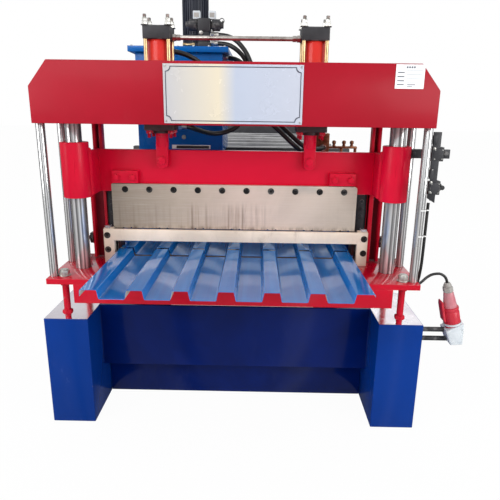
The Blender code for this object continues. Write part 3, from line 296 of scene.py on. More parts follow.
def blade_steel():
    """The blade: ground plate with brown drawn marks where each rib was cut, and painted reflection bands
    across it.
    """
    f = Finish("blade steel")
    x, z = f.axis("X"), f.axis("Z")
    lines = f.noise(420.0, 3.0, 0.6, stretch=(0.02, 1, 1))
    cloud = f.noise(3.4, 5.0, 0.6, twist=0.7, shift=(1, 0, 4))
    # Painted reflection: the blade's tone runs darker and lighter across it from left to right.
    reflection_tones = ((0.0, tone(146, 136, 120)), (0.28, tone(192, 174, 156)), (0.58, tone(230, 205, 190)),
             (1.0, tone(202, 190, 174)))
    across = f.node("ShaderNodeValToRGB", {"stops": reflection_tones}, {0: x + 0.5})
    base = f.mix(cloud.ramp(0.30, 0.70) * 0.30, across, tone(150, 134, 120))
    base = f.mix(lines.ramp(0.40, 0.75) * 0.14, base, tone(236, 228, 220))
    positive = RIB_PITCH / 2 + 10 * RIB_PITCH
    from_rib = f.node("ShaderNodeMath", {"operation": "PINGPONG"}, {0: x + positive, 1: RIB_PITCH / 2})
    from_flank = f.node("ShaderNodeMath", {"operation": "ABSOLUTE"}, {0: from_rib - FLANK_MARK})
    flank = 1.0 - from_flank.ramp(0.0005, 0.0065)
    drawn = f.noise(36.0, 5.0, 0.7, stretch=(2.4, 1, 0.10), twist=0.6).ramp(0.42, 0.72)
    low_part = 1.0 - z.ramp(BLADE_EDGE + 0.070, BLADE_EDGE + 0.125)
    patch = f.noise(2.6, 2.0, 0.5, stretch=(1, 1, 0.2), shift=(5, 0, 2)).ramp(0.42, 0.62)
    drag = low_part * drawn * patch
    base = f.mix(drag * 0.70, base, tone(120, 84, 62))
    base = f.mix(flank * low_part * patch * 0.75, base, tone(104, 74, 56))
    foot = 1.0 - z.ramp(BLADE_EDGE, BLADE_EDGE + 0.022)
    soot = f.noise(22.0, 5.0, 0.7, stretch=(1.5, 1, 0.5), shift=(0, 0, 9)).ramp(0.40, 0.70)
    base = f.mix(foot * soot * 0.75, base, tone(80, 62, 52))
    cold = f.noise(5.0, 3.0, 0.5, shift=(4, 0, 7)).ramp(0.62, 0.78)
    base = f.mix(cold * 0.35, base, tone(128, 138, 140))
    film = f.bump(lines, 0.10, 0.0004)
    rough = lines * 0.10 + soot * foot * 0.2 + 0.36
    return f.set(Base_Color=base, Metallic=0.22 - drag * 0.1, Roughness=rough, Normal=film)


def plated(name, light, dark, rough=0.28, metal=1.0, scale=60.0):
    """Zinc or nickel plate on fasteners and pipe."""
    f = Finish(name)
    cloud = f.noise(scale, 4.0, 0.6)
    spots = f.noise(scale * 5, 2.0, 0.6).ramp(0.60, 0.75)
    base = f.mix(cloud.ramp(0.30, 0.70), dark, light)
    base = f.mix(spots * 0.3, base, dark)
    return f.set(Base_Color=base, Metallic=metal, Roughness=cloud * 0.18 + spots * 0.15 + rough,
                 Normal=f.bump(cloud, 0.08, 0.0005))


# Greys of the painted reflection streaks along a bright bar, by degrees from the side that faces forward.
CHROME_REFLECTIONS = (
    (-180, 200), (-140, 120), (-110, 240), (-80, 90), (-55, 190), (-40, 125), (-28, 200), (-12, 250),
    (-3, 100), (12, 205), (20, 250), (30, 105), (42, 230), (60, 130), (78, 80), (108, 240), (145, 125),
    (180, 200))


def hard_chrome():
    """Ground and chromed bar: painted reflection streaks along it, bright and dark by the way the surface
    faces, faint rings and an oil film.
    """
    f = Finish("hard chrome")
    facing = f.node("ShaderNodeNewGeometry", out=1)
    across = f.node("ShaderNodeSeparateXYZ", {}, {0: facing}, out=0)
    ahead = f.node("ShaderNodeSeparateXYZ", {}, {0: facing}, out=1)
    turn = f.node("ShaderNodeMath", {"operation": "ARCTAN2"}, {0: across, 1: ahead * -1.0})
    stops = tuple((angle / 360 + 0.5, tone(grey, grey, grey)) for angle, grey in CHROME_REFLECTIONS)
    # Painted reflection: the bar's colour turns bright and dark around it, as mirrored surroundings would.
    reflection_streaks = f.node("ShaderNodeValToRGB", {"stops": stops}, {0: turn * (1 / math.tau) + 0.5})
    rings = f.noise(300.0, 2.0, 0.5, stretch=(0.05, 0.05, 1))
    oil = f.noise(11.0, 4.0, 0.6, stretch=(1, 1, 0.35), twist=0.8).ramp(0.50, 0.76)
    base = f.mix(oil * 0.35, reflection_streaks, tone(186, 180, 172))
    return f.set(Base_Color=base, Metallic=0.60, Roughness=rings * 0.04 + oil * 0.12 + 0.16)


def casting(name, colour, pale, rough=0.42, grain=0.25, metal=0.0):
    """Painted or blackened iron with a fine cast grain and rubbed edges."""
    f = Finish(name)
    cloud = f.noise(16.0, 5.0, 0.65)
    base = f.mix(cloud.ramp(0.35, 0.75) * 0.6, colour, pale)
    rub = f.worn() * f.noise(40.0, 3.0, 0.6).ramp(0.45, 0.65)
    base = f.mix(rub * 0.5, base, tone(128, 126, 124))
    film = f.bump(f.noise(260.0, 3.0, 0.6), grain, 0.0008)
    return f.set(Base_Color=base, Metallic=metal, Roughness=cloud * 0.20 + rough, Normal=film)


def rubber_hose():
    """Black rubber with a woven cover and dust on it."""
    f = Finish("black rubber")
    weave = f.cells(420.0)
    dust = f.noise(18.0, 4.0, 0.6).ramp(0.50, 0.80)
    base = f.mix(dust * 0.35, tone(20, 19, 18), tone(66, 60, 54))
    return f.set(Base_Color=base, Roughness=dust * 0.20 + 0.36, Specular_IOR_Level=0.6,
                 Normal=f.bump(weave, 0.10, 0.0006))


def plastic(name, colour, pale, rough=0.4, clear=0.0):
    """Moulded plastic, a little cloudy and grained."""
    f = Finish(name)
    cloud = f.noise(24.0, 4.0, 0.6)
    base = f.mix(cloud.ramp(0.35, 0.75) * 0.5, colour, pale)
    film = f.bump(f.noise(500.0, 2.0, 0.5), 0.08, 0.0004)
    return f.set(Base_Color=base, Roughness=cloud * 0.14 + rough, Transmission_Weight=clear, Normal=film)


def sign_sheet():
    """Satin printed aluminium: a painted reflection turns its colour from cool to warm and back along its
    length.
    """
    f = Finish("sign sheet")
    low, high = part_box("sign_plate")
    sway = f.noise(3.1, 2.0, 0.4, stretch=(1, 1, 0.4)) * 0.06 - 0.03
    along = (f.axis("X") - low.x) * (1 / (high.x - low.x)) + sway
    # Painted reflection: cool and warm tones along the sign stand in for what its satin face mirrors.
    reflection_tones = ((0.0, tone(185, 185, 190)), (0.40, tone(218, 207, 184)), (0.52, tone(180, 188, 205)),
             (1.0, tone(188, 192, 205)))
    painted_reflection = f.node("ShaderNodeValToRGB", {"stops": reflection_tones}, {0: along})
    smudge = f.noise(14.0, 4.0, 0.6).ramp(0.52, 0.80)
    return f.set(Base_Color=painted_reflection, Metallic=0.08, Roughness=smudge * 0.14 + 0.26, Coat_Weight=0.3)


def printed(name, colour, rough=0.45):
    """A matt film of ink or paint."""
    f = Finish(name)
    cloud = f.noise(60.0, 3.0, 0.6)
    base = f.mix(cloud * 0.25, colour, tone(150, 150, 160))
    return f.set(Base_Color=base, Roughness=cloud * 0.1 + rough)


def make_finishes():
    return {
        "red": enamel("red enamel", tone(160, 10, 34), tone(151, 8, 29), gloss=0.42, coat=0.06, dust=0.05),
        "beam": enamel("beam enamel", tone(217, 8, 50), tone(203, 6, 44), gloss=0.34, coat=0.12, dust=0.05),
        "table": enamel("table enamel", tone(194, 9, 40), tone(181, 7, 35), gloss=0.16, coat=0.8, peel=0.04,
                        dust=0.04),
        "guard": enamel("post enamel", tone(196, 16, 44), tone(172, 12, 36), gloss=0.30, coat=0.3),
        # Painted shade: a dark red for the panels inside the posts' channels.
        "shade": enamel("painted shade enamel", tone(124, 11, 32), tone(98, 9, 26), gloss=0.5, coat=0.0),
        "tube": enamel("cylinder enamel", tone(216, 52, 42), tone(202, 40, 33), gloss=0.26, coat=0.5),
        "blue": enamel("blue enamel", tone(0, 50, 131), tone(0, 45, 120), gloss=0.20, coat=0.3, dust=0.03),
        # Painted shade: a darker copy of the stand's blue for the panel and the rail under the table.
        "navy": enamel("navy enamel", tone(0, 27, 98), tone(0, 20, 80), gloss=0.14, coat=0.4, dust=0.03),
        "tank": enamel("tank enamel", tone(0, 100, 180), tone(0, 84, 162), gloss=0.22, coat=0.4, dust=0.05),
        "sheet": coated_sheet(),
        "steel": ground_steel("portal steel", tone(246, 227, 208), tone(218, 200, 181), tone(140, 112, 92)),
        # Darker than the portal's steel: painted shade inside the portal's opening; the brown marks are
        # stains.
        "die": ground_steel("die steel in painted shade", tone(120, 104, 92), tone(84, 70, 60), tone(56, 40, 32), stains=0.7),
        "blade": blade_steel(),
        "bar": ground_steel("rail steel", tone(150, 150, 150), tone(104, 104, 106), tone(70, 62, 56),
                            along=(0.05, 1, 1), stains=0.5, rough=0.26),
        "chrome": hard_chrome(),
        # Polished plate for the legs' tops and the shims; its faint pink is a painted reflection of the red
        # table.
        "mirror": plated("polished plate", tone(252, 246, 248), tone(240, 230, 236), rough=0.08, scale=8.0),
        "back": printed("back coat", tone(188, 192, 188), rough=0.5),
        "zinc": plated("zinc plate", tone(222, 220, 214), tone(176, 174, 168)),
        "gold": plated("yellow plate", tone(226, 200, 156), tone(196, 164, 116), rough=0.24, scale=30.0),
        "pipe": plated("bright pipe", tone(214, 208, 200), tone(168, 158, 150), rough=0.20, scale=30.0),
        "brass": plated("brown brass", tone(150, 104, 78), tone(106, 68, 50), rough=0.34),
        "black": casting("black casting", tone(34, 34, 38), tone(62, 62, 66)),
        "oxide": casting("black oxide", tone(30, 28, 28), tone(58, 52, 48), rough=0.36, metal=0.6),
        "motor": casting("motor paint", tone(44, 48, 60), tone(70, 74, 88), grain=0.15),
        # Dark red-brown: the glands' own colour, and painted shade on the cylinder flanges under the top
        # beam.
        "gland": casting("dark gland and painted shade", tone(52, 26, 28), tone(84, 34, 38), rough=0.34),
        "rubber": rubber_hose(),
        "red_plastic": plastic("red plastic", tone(186, 28, 48), tone(206, 60, 76), rough=0.34),
        "pink_plastic": plastic("clear pink plastic", tone(222, 130, 142), tone(238, 190, 196), rough=0.25,
                                clear=0.35),
        "grey_plastic": plastic("grey plastic", tone(206, 212, 216), tone(176, 186, 194)),
        "gland_plastic": plastic("gland plastic", tone(150, 146, 142), tone(186, 182, 176)),
        "white_plastic": plastic("white plastic", tone(228, 228, 226), tone(206, 206, 204)),
        "sign": sign_sheet(),
        "label": printed("label film", tone(236, 238, 240)),
        "ink": printed("dark ink", tone(44, 50, 66)),
        "glass": plastic("sight glass", tone(196, 206, 206), tone(226, 232, 232), rough=0.08, clear=0.6),
    }


TURNS = {
    "Z": Matrix.Identity(3),
    "-Z": Matrix.Rotation(math.radians(180), 3, "X"),
    "X": Matrix.Rotation(math.radians(90), 3, "Y"),
    "-X": Matrix.Rotation(math.radians(-90), 3, "Y"),
    "Y": Matrix.Rotation(math.radians(-90), 3, "X"),
    "-Y": Matrix.Rotation(math.radians(90), 3, "X"),
}


def push_out(shape, grown, way):
    """Move the vertices that an extrusion made."""
    bmesh.ops.translate(shape, vec=way, verts=[v for v in grown if isinstance(v, bmesh.types.BMVert)])


def bent_edges(shape, angle):
    limit = math.radians(angle)
    return [e for e in shape.edges if len(e.link_faces) == 2 and e.calc_face_angle(0.0) > limit]


def bevelled(shape, edges, width, segments):
    bmesh.ops.bevel(shape, geom=edges, offset=width, offset_type="OFFSET", segments=segments, profile=0.5,
                    affect="EDGES", clamp_overlap=True, material=-1)
    return shape


def round_edges(shape, width, segments=2, angle=32):
    """Bevel the edges that turn more than this angle."""
    if width <= 0:
        return shape
    bmesh.ops.recalc_face_normals(shape, faces=shape.faces)
    return bevelled(shape, bent_edges(shape, angle), width, segments)


def box(low, high, edge=EDGE, segments=2):
    low, high = Vector(low), Vector(high)
    shape = bmesh.new()
    bmesh.ops.create_cube(shape, size=1.0)
    bmesh.ops.scale(shape, vec=high - low, verts=shape.verts)
    bmesh.ops.translate(shape, vec=(low + high) / 2, verts=shape.verts)
    return round_edges(shape, edge, segments)


def prism(outline, depth, start=0.0, axes="XZY", edge=EDGE, segments=2):
    """A closed outline in two axes, extruded along the third."""
    order = ["XYZ".index(name) for name in axes]
    shape = bmesh.new()
    corners = []
    for pair in outline:
        point = Vector((0, 0, 0))
        point[order[0]], point[order[1]], point[order[2]] = pair[0], pair[1], start
        corners.append(shape.verts.new(point))
    grown = bmesh.ops.extrude_face_region(shape, geom=[shape.faces.new(corners)])
    way = Vector((0, 0, 0))
    way[order[2]] = depth
    push_out(shape, grown["geom"], way)
    return round_edges(shape, edge, segments)


def turned(profile, place=(0, 0, 0), axis="Z", steps=ROUND, edge=FINE_EDGE, segments=2):
    """A solid of revolution from (radius, height) points."""
    shape = bmesh.new()
    points = [shape.verts.new((radius, 0, height)) for radius, height in profile]
    lines = [shape.edges.new(pair) for pair in zip(points, points[1:])]
    bmesh.ops.spin(shape, geom=points + lines, cent=(0, 0, 0), axis=(0, 0, 1), angle=math.tau, steps=steps,
                   use_merge=True)
    bmesh.ops.remove_doubles(shape, verts=shape.verts, dist=MERGE / 2)
    round_edges(shape, edge, segments)
    return aimed(shape, place, axis)


def aimed(shape, place, axis="Z"):
    """Turn a shape made along Z onto an axis, and put its origin in its place."""
    bmesh.ops.transform(shape, matrix=Matrix.Translation(place) @ TURNS[axis].to_4x4(), verts=shape.verts)
    return shape


def bar(radius, low, high, place=(0, 0, 0), axis="Z", steps=ROUND, edge=FINE_EDGE):
    """A round solid bar."""
    return turned([(0, low), (radius, low), (radius, high), (0, high)], place, axis, steps, edge)


def ring(inner, outer, low, high, place=(0, 0, 0), axis="Z", steps=ROUND, edge=FINE_EDGE):
    """A ring or sleeve with a square section."""
    section = [(inner, low), (outer, low), (outer, high), (inner, high), (inner, low)]
    return turned(section, place, axis, steps, edge)


def hexagon(radius, low, high, place=(0, 0, 0), axis="Z", chamfer=0.12):
    """A six-sided nut or head: corner radius, with a chamfered outer end."""
    shape = bmesh.new()
    bmesh.ops.create_cone(shape, segments=6, radius1=radius, radius2=radius, depth=high - low, cap_ends=True)
    bmesh.ops.translate(shape, vec=(0, 0, (low + high) / 2), verts=shape.verts)
    rim = [e for e in shape.edges if all(abs(v.co.z - high) < 1e-6 for v in e.verts)]
    bevelled(shape, rim, radius * chamfer, 2)
    return aimed(shape, place, axis)


def joined(*shapes):
    """Several shapes in one bmesh."""
    whole = bmesh.new()
    for shape in shapes:
        mesh = bpy.data.meshes.new("joining")
        shape.to_mesh(mesh)
        shape.free()
        whole.from_mesh(mesh)
        bpy.data.meshes.remove(mesh)
    return whole


def hex_bolt(radius, height, place, axis="Z"):
    """A hexagon head on its washer."""
    return joined(bar(radius * 1.22, 0, height * 0.2, place, axis, 32, 0.0003),
                  hexagon(radius, height * 0.2, height, place, axis))


def socket_bolt(radius, height, place, axis="Z"):
    """A round head with a six-sided recess."""
    shape = bmesh.new()
    bmesh.ops.create_cone(shape, segments=36, radius1=radius, radius2=radius, depth=height, cap_ends=True)
    bmesh.ops.translate(shape, vec=(0, 0, height / 2), verts=shape.verts)
    top = max(shape.faces, key=lambda f: f.calc_center_median().z)
    bmesh.ops.inset_region(shape, faces=[top], thickness=radius * 0.38)
    for v in top.verts:
        angle = math.atan2(v.co.y, v.co.x) % math.radians(60) - math.radians(30)
        reach = radius * 0.50 / math.cos(angle)
        v.co.x, v.co.y = Vector((v.co.x, v.co.y)).normalized() * reach
    sunk = bmesh.ops.extrude_face_region(shape, geom=[top])
    push_out(shape, sunk["geom"], (0, 0, -height * 0.7))
    bmesh.ops.delete(shape, geom=[top], context="FACES_ONLY")
    round_edges(shape, radius * 0.06, 1, 50)
    return aimed(shape, place, axis)


def threaded(radius, low, high, place=(0, 0, 0), axis="Z", pitch=0.0018, steps=24):
    """A threaded end: shallow rings at the thread's pitch and a rounded tip."""
    turns = max(2, round((high - low - radius * 0.3) / pitch))
    profile = [(0, low), (radius, low)]
    for number in range(turns):
        rise = low + pitch * number
        profile += [(radius * 0.90, rise + pitch * 0.5), (radius, rise + pitch)]
    profile += [(radius * 0.75, high), (0, high)]
    return turned(profile, place, axis, steps, 0)


def weld(start, end, size, step=0.0042):
    """A painted fillet weld: overlapping flattened drops from start to end."""
    start, end = Vector(start), Vector(end)
    count = max(2, round((end - start).length / step))
    drops = bmesh.new()
    for number in range(count + 1):
        made = bmesh.ops.create_uvsphere(drops, u_segments=8, v_segments=5, radius=size)["verts"]
        sway = size * 0.18 * math.sin(number * 2.4)
        spot = start.lerp(end, number / count)
        grow = 1.0 + 0.16 * math.sin(number * 1.7)
        bmesh.ops.scale(drops, vec=(grow, grow, grow), verts=made)
        bmesh.ops.translate(drops, vec=spot + Vector((sway, sway * 0.5, 0)), verts=made)
    return drops


def mark_edges(shape):
    """A point attribute that is 1 on the rounded edges of a piece with broad faces."""
    layer = shape.verts.layers.float.new("edge")
    width = {f: f.calc_area() / max(e.calc_length() for e in f.edges) for f in shape.faces}
    if not any(value > NARROW * 4 for value in width.values()):
        return
    for v in shape.verts:
        v[layer] = 0.0 if any(width[f] > NARROW for f in v.link_faces) else 1.0


def meshed(name, shape, *finishes):
    """A bmesh as a mesh with its materials."""
    mesh = bpy.data.meshes.new(name)
    shape.to_mesh(mesh)
    shape.free()
    for finish in finishes:
        mesh.materials.append(finish.material)
    return mesh


def added(name, data):
    """A new object in the scene."""
    piece = bpy.data.objects.new(name, data)
    bpy.context.scene.collection.objects.link(piece)
    return piece


def store(name, shape, finish, body="frame", nodes=()):
    """Keep a shape as one piece that rides on a body and may stand for some nodes."""
    bmesh.ops.recalc_face_normals(shape, faces=shape.faces)
    mark_edges(shape)
    mesh = meshed(name, shape, FINISH[finish])
    mesh.shade_smooth()
    mesh.set_sharp_from_angle(angle=math.radians(SMOOTH))
    piece = added(name, mesh)
    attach(piece, body)
    if nodes:
        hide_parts(*nodes)
    return piece


def copied(node, edge=EDGE, segments=2):
    """A node's own form with its triangles merged and its edges rounded."""
    shape = bmesh.new()
    shape.from_mesh(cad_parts[node].data)
    bmesh.ops.remove_doubles(shape, verts=shape.verts, dist=MERGE)
    bmesh.ops.dissolve_limit(shape, angle_limit=math.radians(0.6), verts=shape.verts, edges=shape.edges)
    return round_edges(shape, edge, segments)


def centre(node):
    """The middle of a node's box."""
    low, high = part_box(node)
    return (low + high) / 2


WORDS = ("left", "right")
SIDES = tuple(zip((-1, 1), WORDS))

# The sheet's section. It lies a little left of the middle, and its two lengths nearly meet under the blade.
RIB_PITCH = 0.150
RIB_COUNT = 7
RIB_HEIGHT = 0.0318
RIB_TOP = 0.053
RIB_FOOT = 0.066
RIB_CENTRES = [RIB_PITCH * (number - (RIB_COUNT - 1) / 2) for number in range(RIB_COUNT)]
SHEET_THICK = 0.0012
BEND_RADIUS = 0.0030
SHEET_SHIFT = -0.0085
SHEET_RIM = 0.0008
SHEET_SEGMENT = 0.10
SEAM_CLOSING = 0.0045
LEFT_LIP = 0.0234
RIGHT_LIP = 0.0090

# The stand and the table.
LEG_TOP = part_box("leg_left")[1].z
LEG_PLATE_INSET = 0.003
TABLE_LOW, TABLE_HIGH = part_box("table")
TABLE_TOP = TABLE_HIGH.z
TABLE_THICK = 0.022
TABLE_UNDERSIDE = TABLE_TOP - TABLE_THICK
APRON_HALF = 0.606
APRON_THICK = 0.020
APRON_LOW = 0.543
STUD_X = 0.654
STUD_SETBACKS = (0.052, 0.305)

# The blade, the beam that carries it, and the portal below it.
BLADE_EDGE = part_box("blade")[0].z
BLADE_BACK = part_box("blade")[1].y
BLADE_SHIFT = -0.007
FLANK_MARK = 0.046
SCREW_PITCH = 0.0991
SCREW_HEIGHT = 0.9455
CLAMPS = ((-0.503, -0.397), (0.379, 0.485))
BEAM_LOW = 0.934
BEAM_HIGH = 1.104
BEAM_THICK = 0.025
BEAM_REACH = 0.5735
SLEEVE_BORE = 0.0303
SLEEVE_RADIUS = 0.053
SLEEVE_LOW = 0.928
SLEEVE_HIGH = 1.139
GUSSET_THICK = 0.014
PORTAL_BOLT_X = 0.5306

# The posts behind the beam: a wide channel up to a shoulder, and a narrow one above it.
POST_INNER = 0.546
POST_WIDTH = 0.066
POST_HEAD = 0.038
POST_HEAD_MIDDLE = 0.022
POST_DEPTH = 0.040
POST_WALL = 0.011
POST_SHOULDER = 1.020

# The cylinders and their four stays.
CYLINDER_X = 0.2936
CYLINDER_Y = y_at(0.252)
FLANGE_HALF = 0.0585
CAP_HALF = 0.0515
STAY_SPREAD = 0.0425

# The former behind the shear: shafts, their bearings, and the ladder over them.
SHAFT_RADIUS = 0.025
FLANGE_THICK = 0.012
BEARING_BOLTS = 0.040
TIE_START = 0.840
TIE_PITCH = 0.300
LADDER_RAIL = 1.0203

# The power pack.
MOTOR_FINS = 30
VALVE_X = -0.1545

# The switches on the front right tie rod.
ROD_X = 0.691
ROD_SETBACK = 0.038
SWITCH_X = 0.707
LEAD_X, LEAD_TOP = LEAD_ROUTE[0][0], LEAD_ROUTE[0][2]


def smooth_route(points, step):
    """Points at an even step along a smooth curve through the route's own points."""
    points = [Vector(point) for point in points]
    padded = [2 * points[0] - points[1]] + points + [2 * points[-1] - points[-2]]
    fine = []
    for a, b, c, d in zip(padded, padded[1:], padded[2:], padded[3:]):
        for part in range(ROUTE_FINE):
            t = part / ROUTE_FINE
            fine.append((2 * b + (c - a) * t + (2 * a - 5 * b + 4 * c - d) * t ** 2
                         + (3 * b - a - 3 * c + d) * t ** 3) / 2)
    fine.append(points[-1])
    lengths = [0.0]
    for first, second in zip(fine, fine[1:]):
        lengths.append(lengths[-1] + (second - first).length)
    count = max(2, round(lengths[-1] / step))
    even, index = [], 0
    for number in range(count + 1):
        target = lengths[-1] * number / count
        while index < len(fine) - 2 and lengths[index + 1] < target:
            index += 1
        share = (target - lengths[index]) / (lengths[index + 1] - lengths[index])
        even.append(fine[index].lerp(fine[index + 1], min(share, 1.0)))
    start = points[0] + (points[1] - points[0]).normalized() * ROUTE_STUB
    end = points[-1] + (points[-2] - points[-1]).normalized() * ROUTE_STUB
    return [even[0], start] + even[1:-1] + [end, even[-1]]


def cord_curve(name, route, radius):
    """The cord as a round curve that lies where its solid lies."""
    points = smooth_route([(x, y_at(setback), z) for x, setback, z in route], radius * CORD_STEP)
    curve = bpy.data.curves.new(name, "CURVE")
    curve.dimensions = "3D"
    curve.bevel_depth = radius
    curve.bevel_resolution = 6
    curve.use_fill_caps = True
    spline = curve.splines.new("POLY")
    spline.points.add(len(points) - 1)
    for spot, point in zip(spline.points, points):
        spot.co = (*point, 1.0)
    spline.use_smooth = True
    curve.materials.append(FINISH["rubber"].material)
    piece = added(name, curve)
    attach(piece, "frame")
    length = sum((b - a).length for a, b in zip(points, points[1:]))
    return piece, points, length


def ferrule(points, reach=0.034):
    """The crimped sleeve and the swivel nut at a hose's end, along its first stretch."""
    start, onward = Vector(points[0]), (Vector(points[1]) - Vector(points[0])).normalized()
    turn = Vector((0, 0, 1)).rotation_difference(onward).to_matrix()
    bore, shell, nut_end = HOSE_RADIUS * 1.02, HOSE_RADIUS * 1.24, 0.014
    groove, first = shell * 0.94, 0.0165
    profile = [(bore, nut_end), (shell, nut_end)]
    for number in range(4):
        step = first + number * (reach - first) / 4
        profile += [(shell, step), (groove, step + 0.0012), (groove, step + 0.0028), (shell, step + 0.004)]
    profile += [(shell, reach), (bore, reach), (bore, nut_end)]
    nut = hexagon(HOSE_RADIUS * 1.55, 0.0005, nut_end)
    shape = joined(turned(profile, steps=36, edge=0), nut)
    bmesh.ops.transform(shape, matrix=Matrix.Translation(start) @ turn.to_4x4(), verts=shape.verts)
    return shape


def build_cords():
    """The switch lead on its front rod, and the four hoses of the power pack."""
    lead, points, length = cord_curve("lead", LEAD_ROUTE, LEAD_RADIUS)
    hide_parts("switch_lead")
    plug = build_plug()
    for name, route in (("return", RETURN_ROUTE), ("lower", LOWER_ROUTE), ("outer", OUTER_ROUTE),
                        ("inner", INNER_ROUTE)):
        hose, points, length = cord_curve(f"oil_hose_{name}", route, HOSE_RADIUS)
        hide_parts(f"hose_{name}")
        sleeves = joined(ferrule(points), ferrule(points[::-1]))
        ends = store(f"hose_ends_{name}", sleeves, "zinc")


PLUG_LEAN = 13.6
PLUG_RIBS = 12
PLUG_PLACE = (0.9064, y_at(0.150), 0.4186)


def leaned(shape):
    """Stand a plug part, made upright at its own origin, in its leaning socket."""
    turn = Matrix.Rotation(math.radians(-PLUG_LEAN), 4, "Y")
    bmesh.ops.transform(shape, matrix=Matrix.Translation(PLUG_PLACE) @ turn, verts=shape.verts)
    return shape


def build_plug():
    """A red industrial plug: socket skirt, ribbed body, clear cone, grey gland, and a hinged flap."""
    skirt = turned([(0, -0.027), (0.0325, -0.027), (0.0325, 0.058), (0.0300, 0.062), (0.0300, 0.066),
                    (0.0325, 0.070), (0.0325, 0.0795), (0, 0.0795)], edge=0.0008)
    ribs = []
    for number in range(PLUG_RIBS):
        rib = box((0.0320, -0.0016, 0.008), (0.0329, 0.0016, 0.055), 0.0003, 1)
        turn = Matrix.Rotation(math.tau * number / PLUG_RIBS, 3, "Z")
        bmesh.ops.rotate(rib, matrix=turn, verts=rib.verts)
        ribs.append(rib)
    body = store("plug_body", leaned(joined(skirt, *ribs)), "red_plastic",
                 nodes=["mains_plug"])
    cone = turned([(0, 0.0796), (0.0268, 0.0796), (0.0262, 0.092), (0.0196, 0.143), (0.0190, 0.1455),
                   (0, 0.1455)], edge=0.0006)
    clear = store("plug_cone", leaned(cone), "pink_plastic")
    collar = turned([(0, 0.1456), (0.0175, 0.1456), (0.0175, 0.149), (0, 0.149)], edge=0.0004)
    tip = turned([(0, 0.170), (0.0165, 0.170), (0.0160, 0.176), (0.0110, 0.1865), (0, 0.1865)], edge=0.0005)
    nut = joined(collar, hexagon(0.0205, 0.149, 0.170), tip)
    gland = store("plug_gland", leaned(nut), "gland_plastic")
    flap = prism([(-0.0345, 0.020), (-0.0300, 0.028), (-0.0300, 0.108), (-0.0330, 0.116), (-0.0385, 0.112),
                  (-0.0405, 0.098), (-0.0400, 0.030)], 0.044, -0.022, edge=0.003, segments=3)
    lid = store("plug_flap", leaned(flap), "red_plastic")
    return [body, clear, gland, lid]


def build_inlet():
    """The pale inlet box that holds the plug, on its two black arms."""
    x, y, z = PLUG_PLACE
    half = 0.039
    outline = [(x - 0.038, z - 0.018), (x + 0.032, z + 0.018), (x + 0.036, z - 0.075), (x - 0.013, z - 0.079)]
    shell = prism(outline, 2 * half, y - half, edge=0.004, segments=3)
    seam = prism([(a * 1.0004, b) for a, b in outline], 0.0015, y + 0.006, edge=0)
    bmesh.ops.scale(seam, vec=(1.02, 1, 1.02), verts=seam.verts, space=Matrix.Translation((-x, 0, 0.035 - z)))
    collar = leaned(ring(0.0335, 0.0372, 0.004, 0.012))
    screws = [socket_bolt(0.0032, 0.0015, (x + dx, y - half, z + dz), "-Y")
              for dx, dz in ((-0.022, -0.030), (0.026, -0.008), (0.026, -0.066), (-0.008, -0.070))]
    store("inlet_shell", joined(shell, seam, collar, *screws), "grey_plastic",
          nodes=["inlet_box"])
    leg_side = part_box("leg_right")[1].x
    plate_side = leg_side + 0.0083
    arms = [bar(0.010, leg_side + 0.004, x - 0.016, (0, y, height), "X", 32) for height in (0.3940, 0.3540)]
    plate = box((leg_side + 0.0003, y - 0.018, 0.336), (plate_side, y + 0.018, 0.412))
    heads = [hex_bolt(0.0055, 0.004, (plate_side, y, height), "X") for height in (0.343, 0.405)]
    store("inlet_arms", joined(plate, *arms, *heads), "black")


def build_legs():
    """Box legs with a polished plate on each, and the panel and the rail between them."""
    for word in WORDS:
        low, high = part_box(f"leg_{word}")
        cap = box((low.x + LEG_PLATE_INSET, low.y + LEG_PLATE_INSET, high.z + 0.00002),
                  (high.x - LEG_PLATE_INSET, high.y - LEG_PLATE_INSET, high.z + 0.00022), 0)
        store(f"leg_top_{word}", cap, "mirror")
        store(f"leg_shell_{word}", copied(f"leg_{word}", 0.003, 3), "blue",
              nodes=[f"leg_{word}"])
    low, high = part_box("cross_panel")
    # The panel and the rail take the darker blue as painted shade under the table.
    store("panel_shell", copied("cross_panel", 0.0015), "navy", nodes=["cross_panel"])
    store("rail_shell", copied("floor_rail", 0.002), "navy", nodes=["floor_rail"])
    seams = []
    for x in (low.x + 0.001, high.x - 0.001):
        y = low.y + 0.001
        seams.append(weld((x, y, low.z + 0.01), (x, y, high.z - 0.01), 0.0028, 0.005))
    store("panel_welds", joined(*seams), "navy")


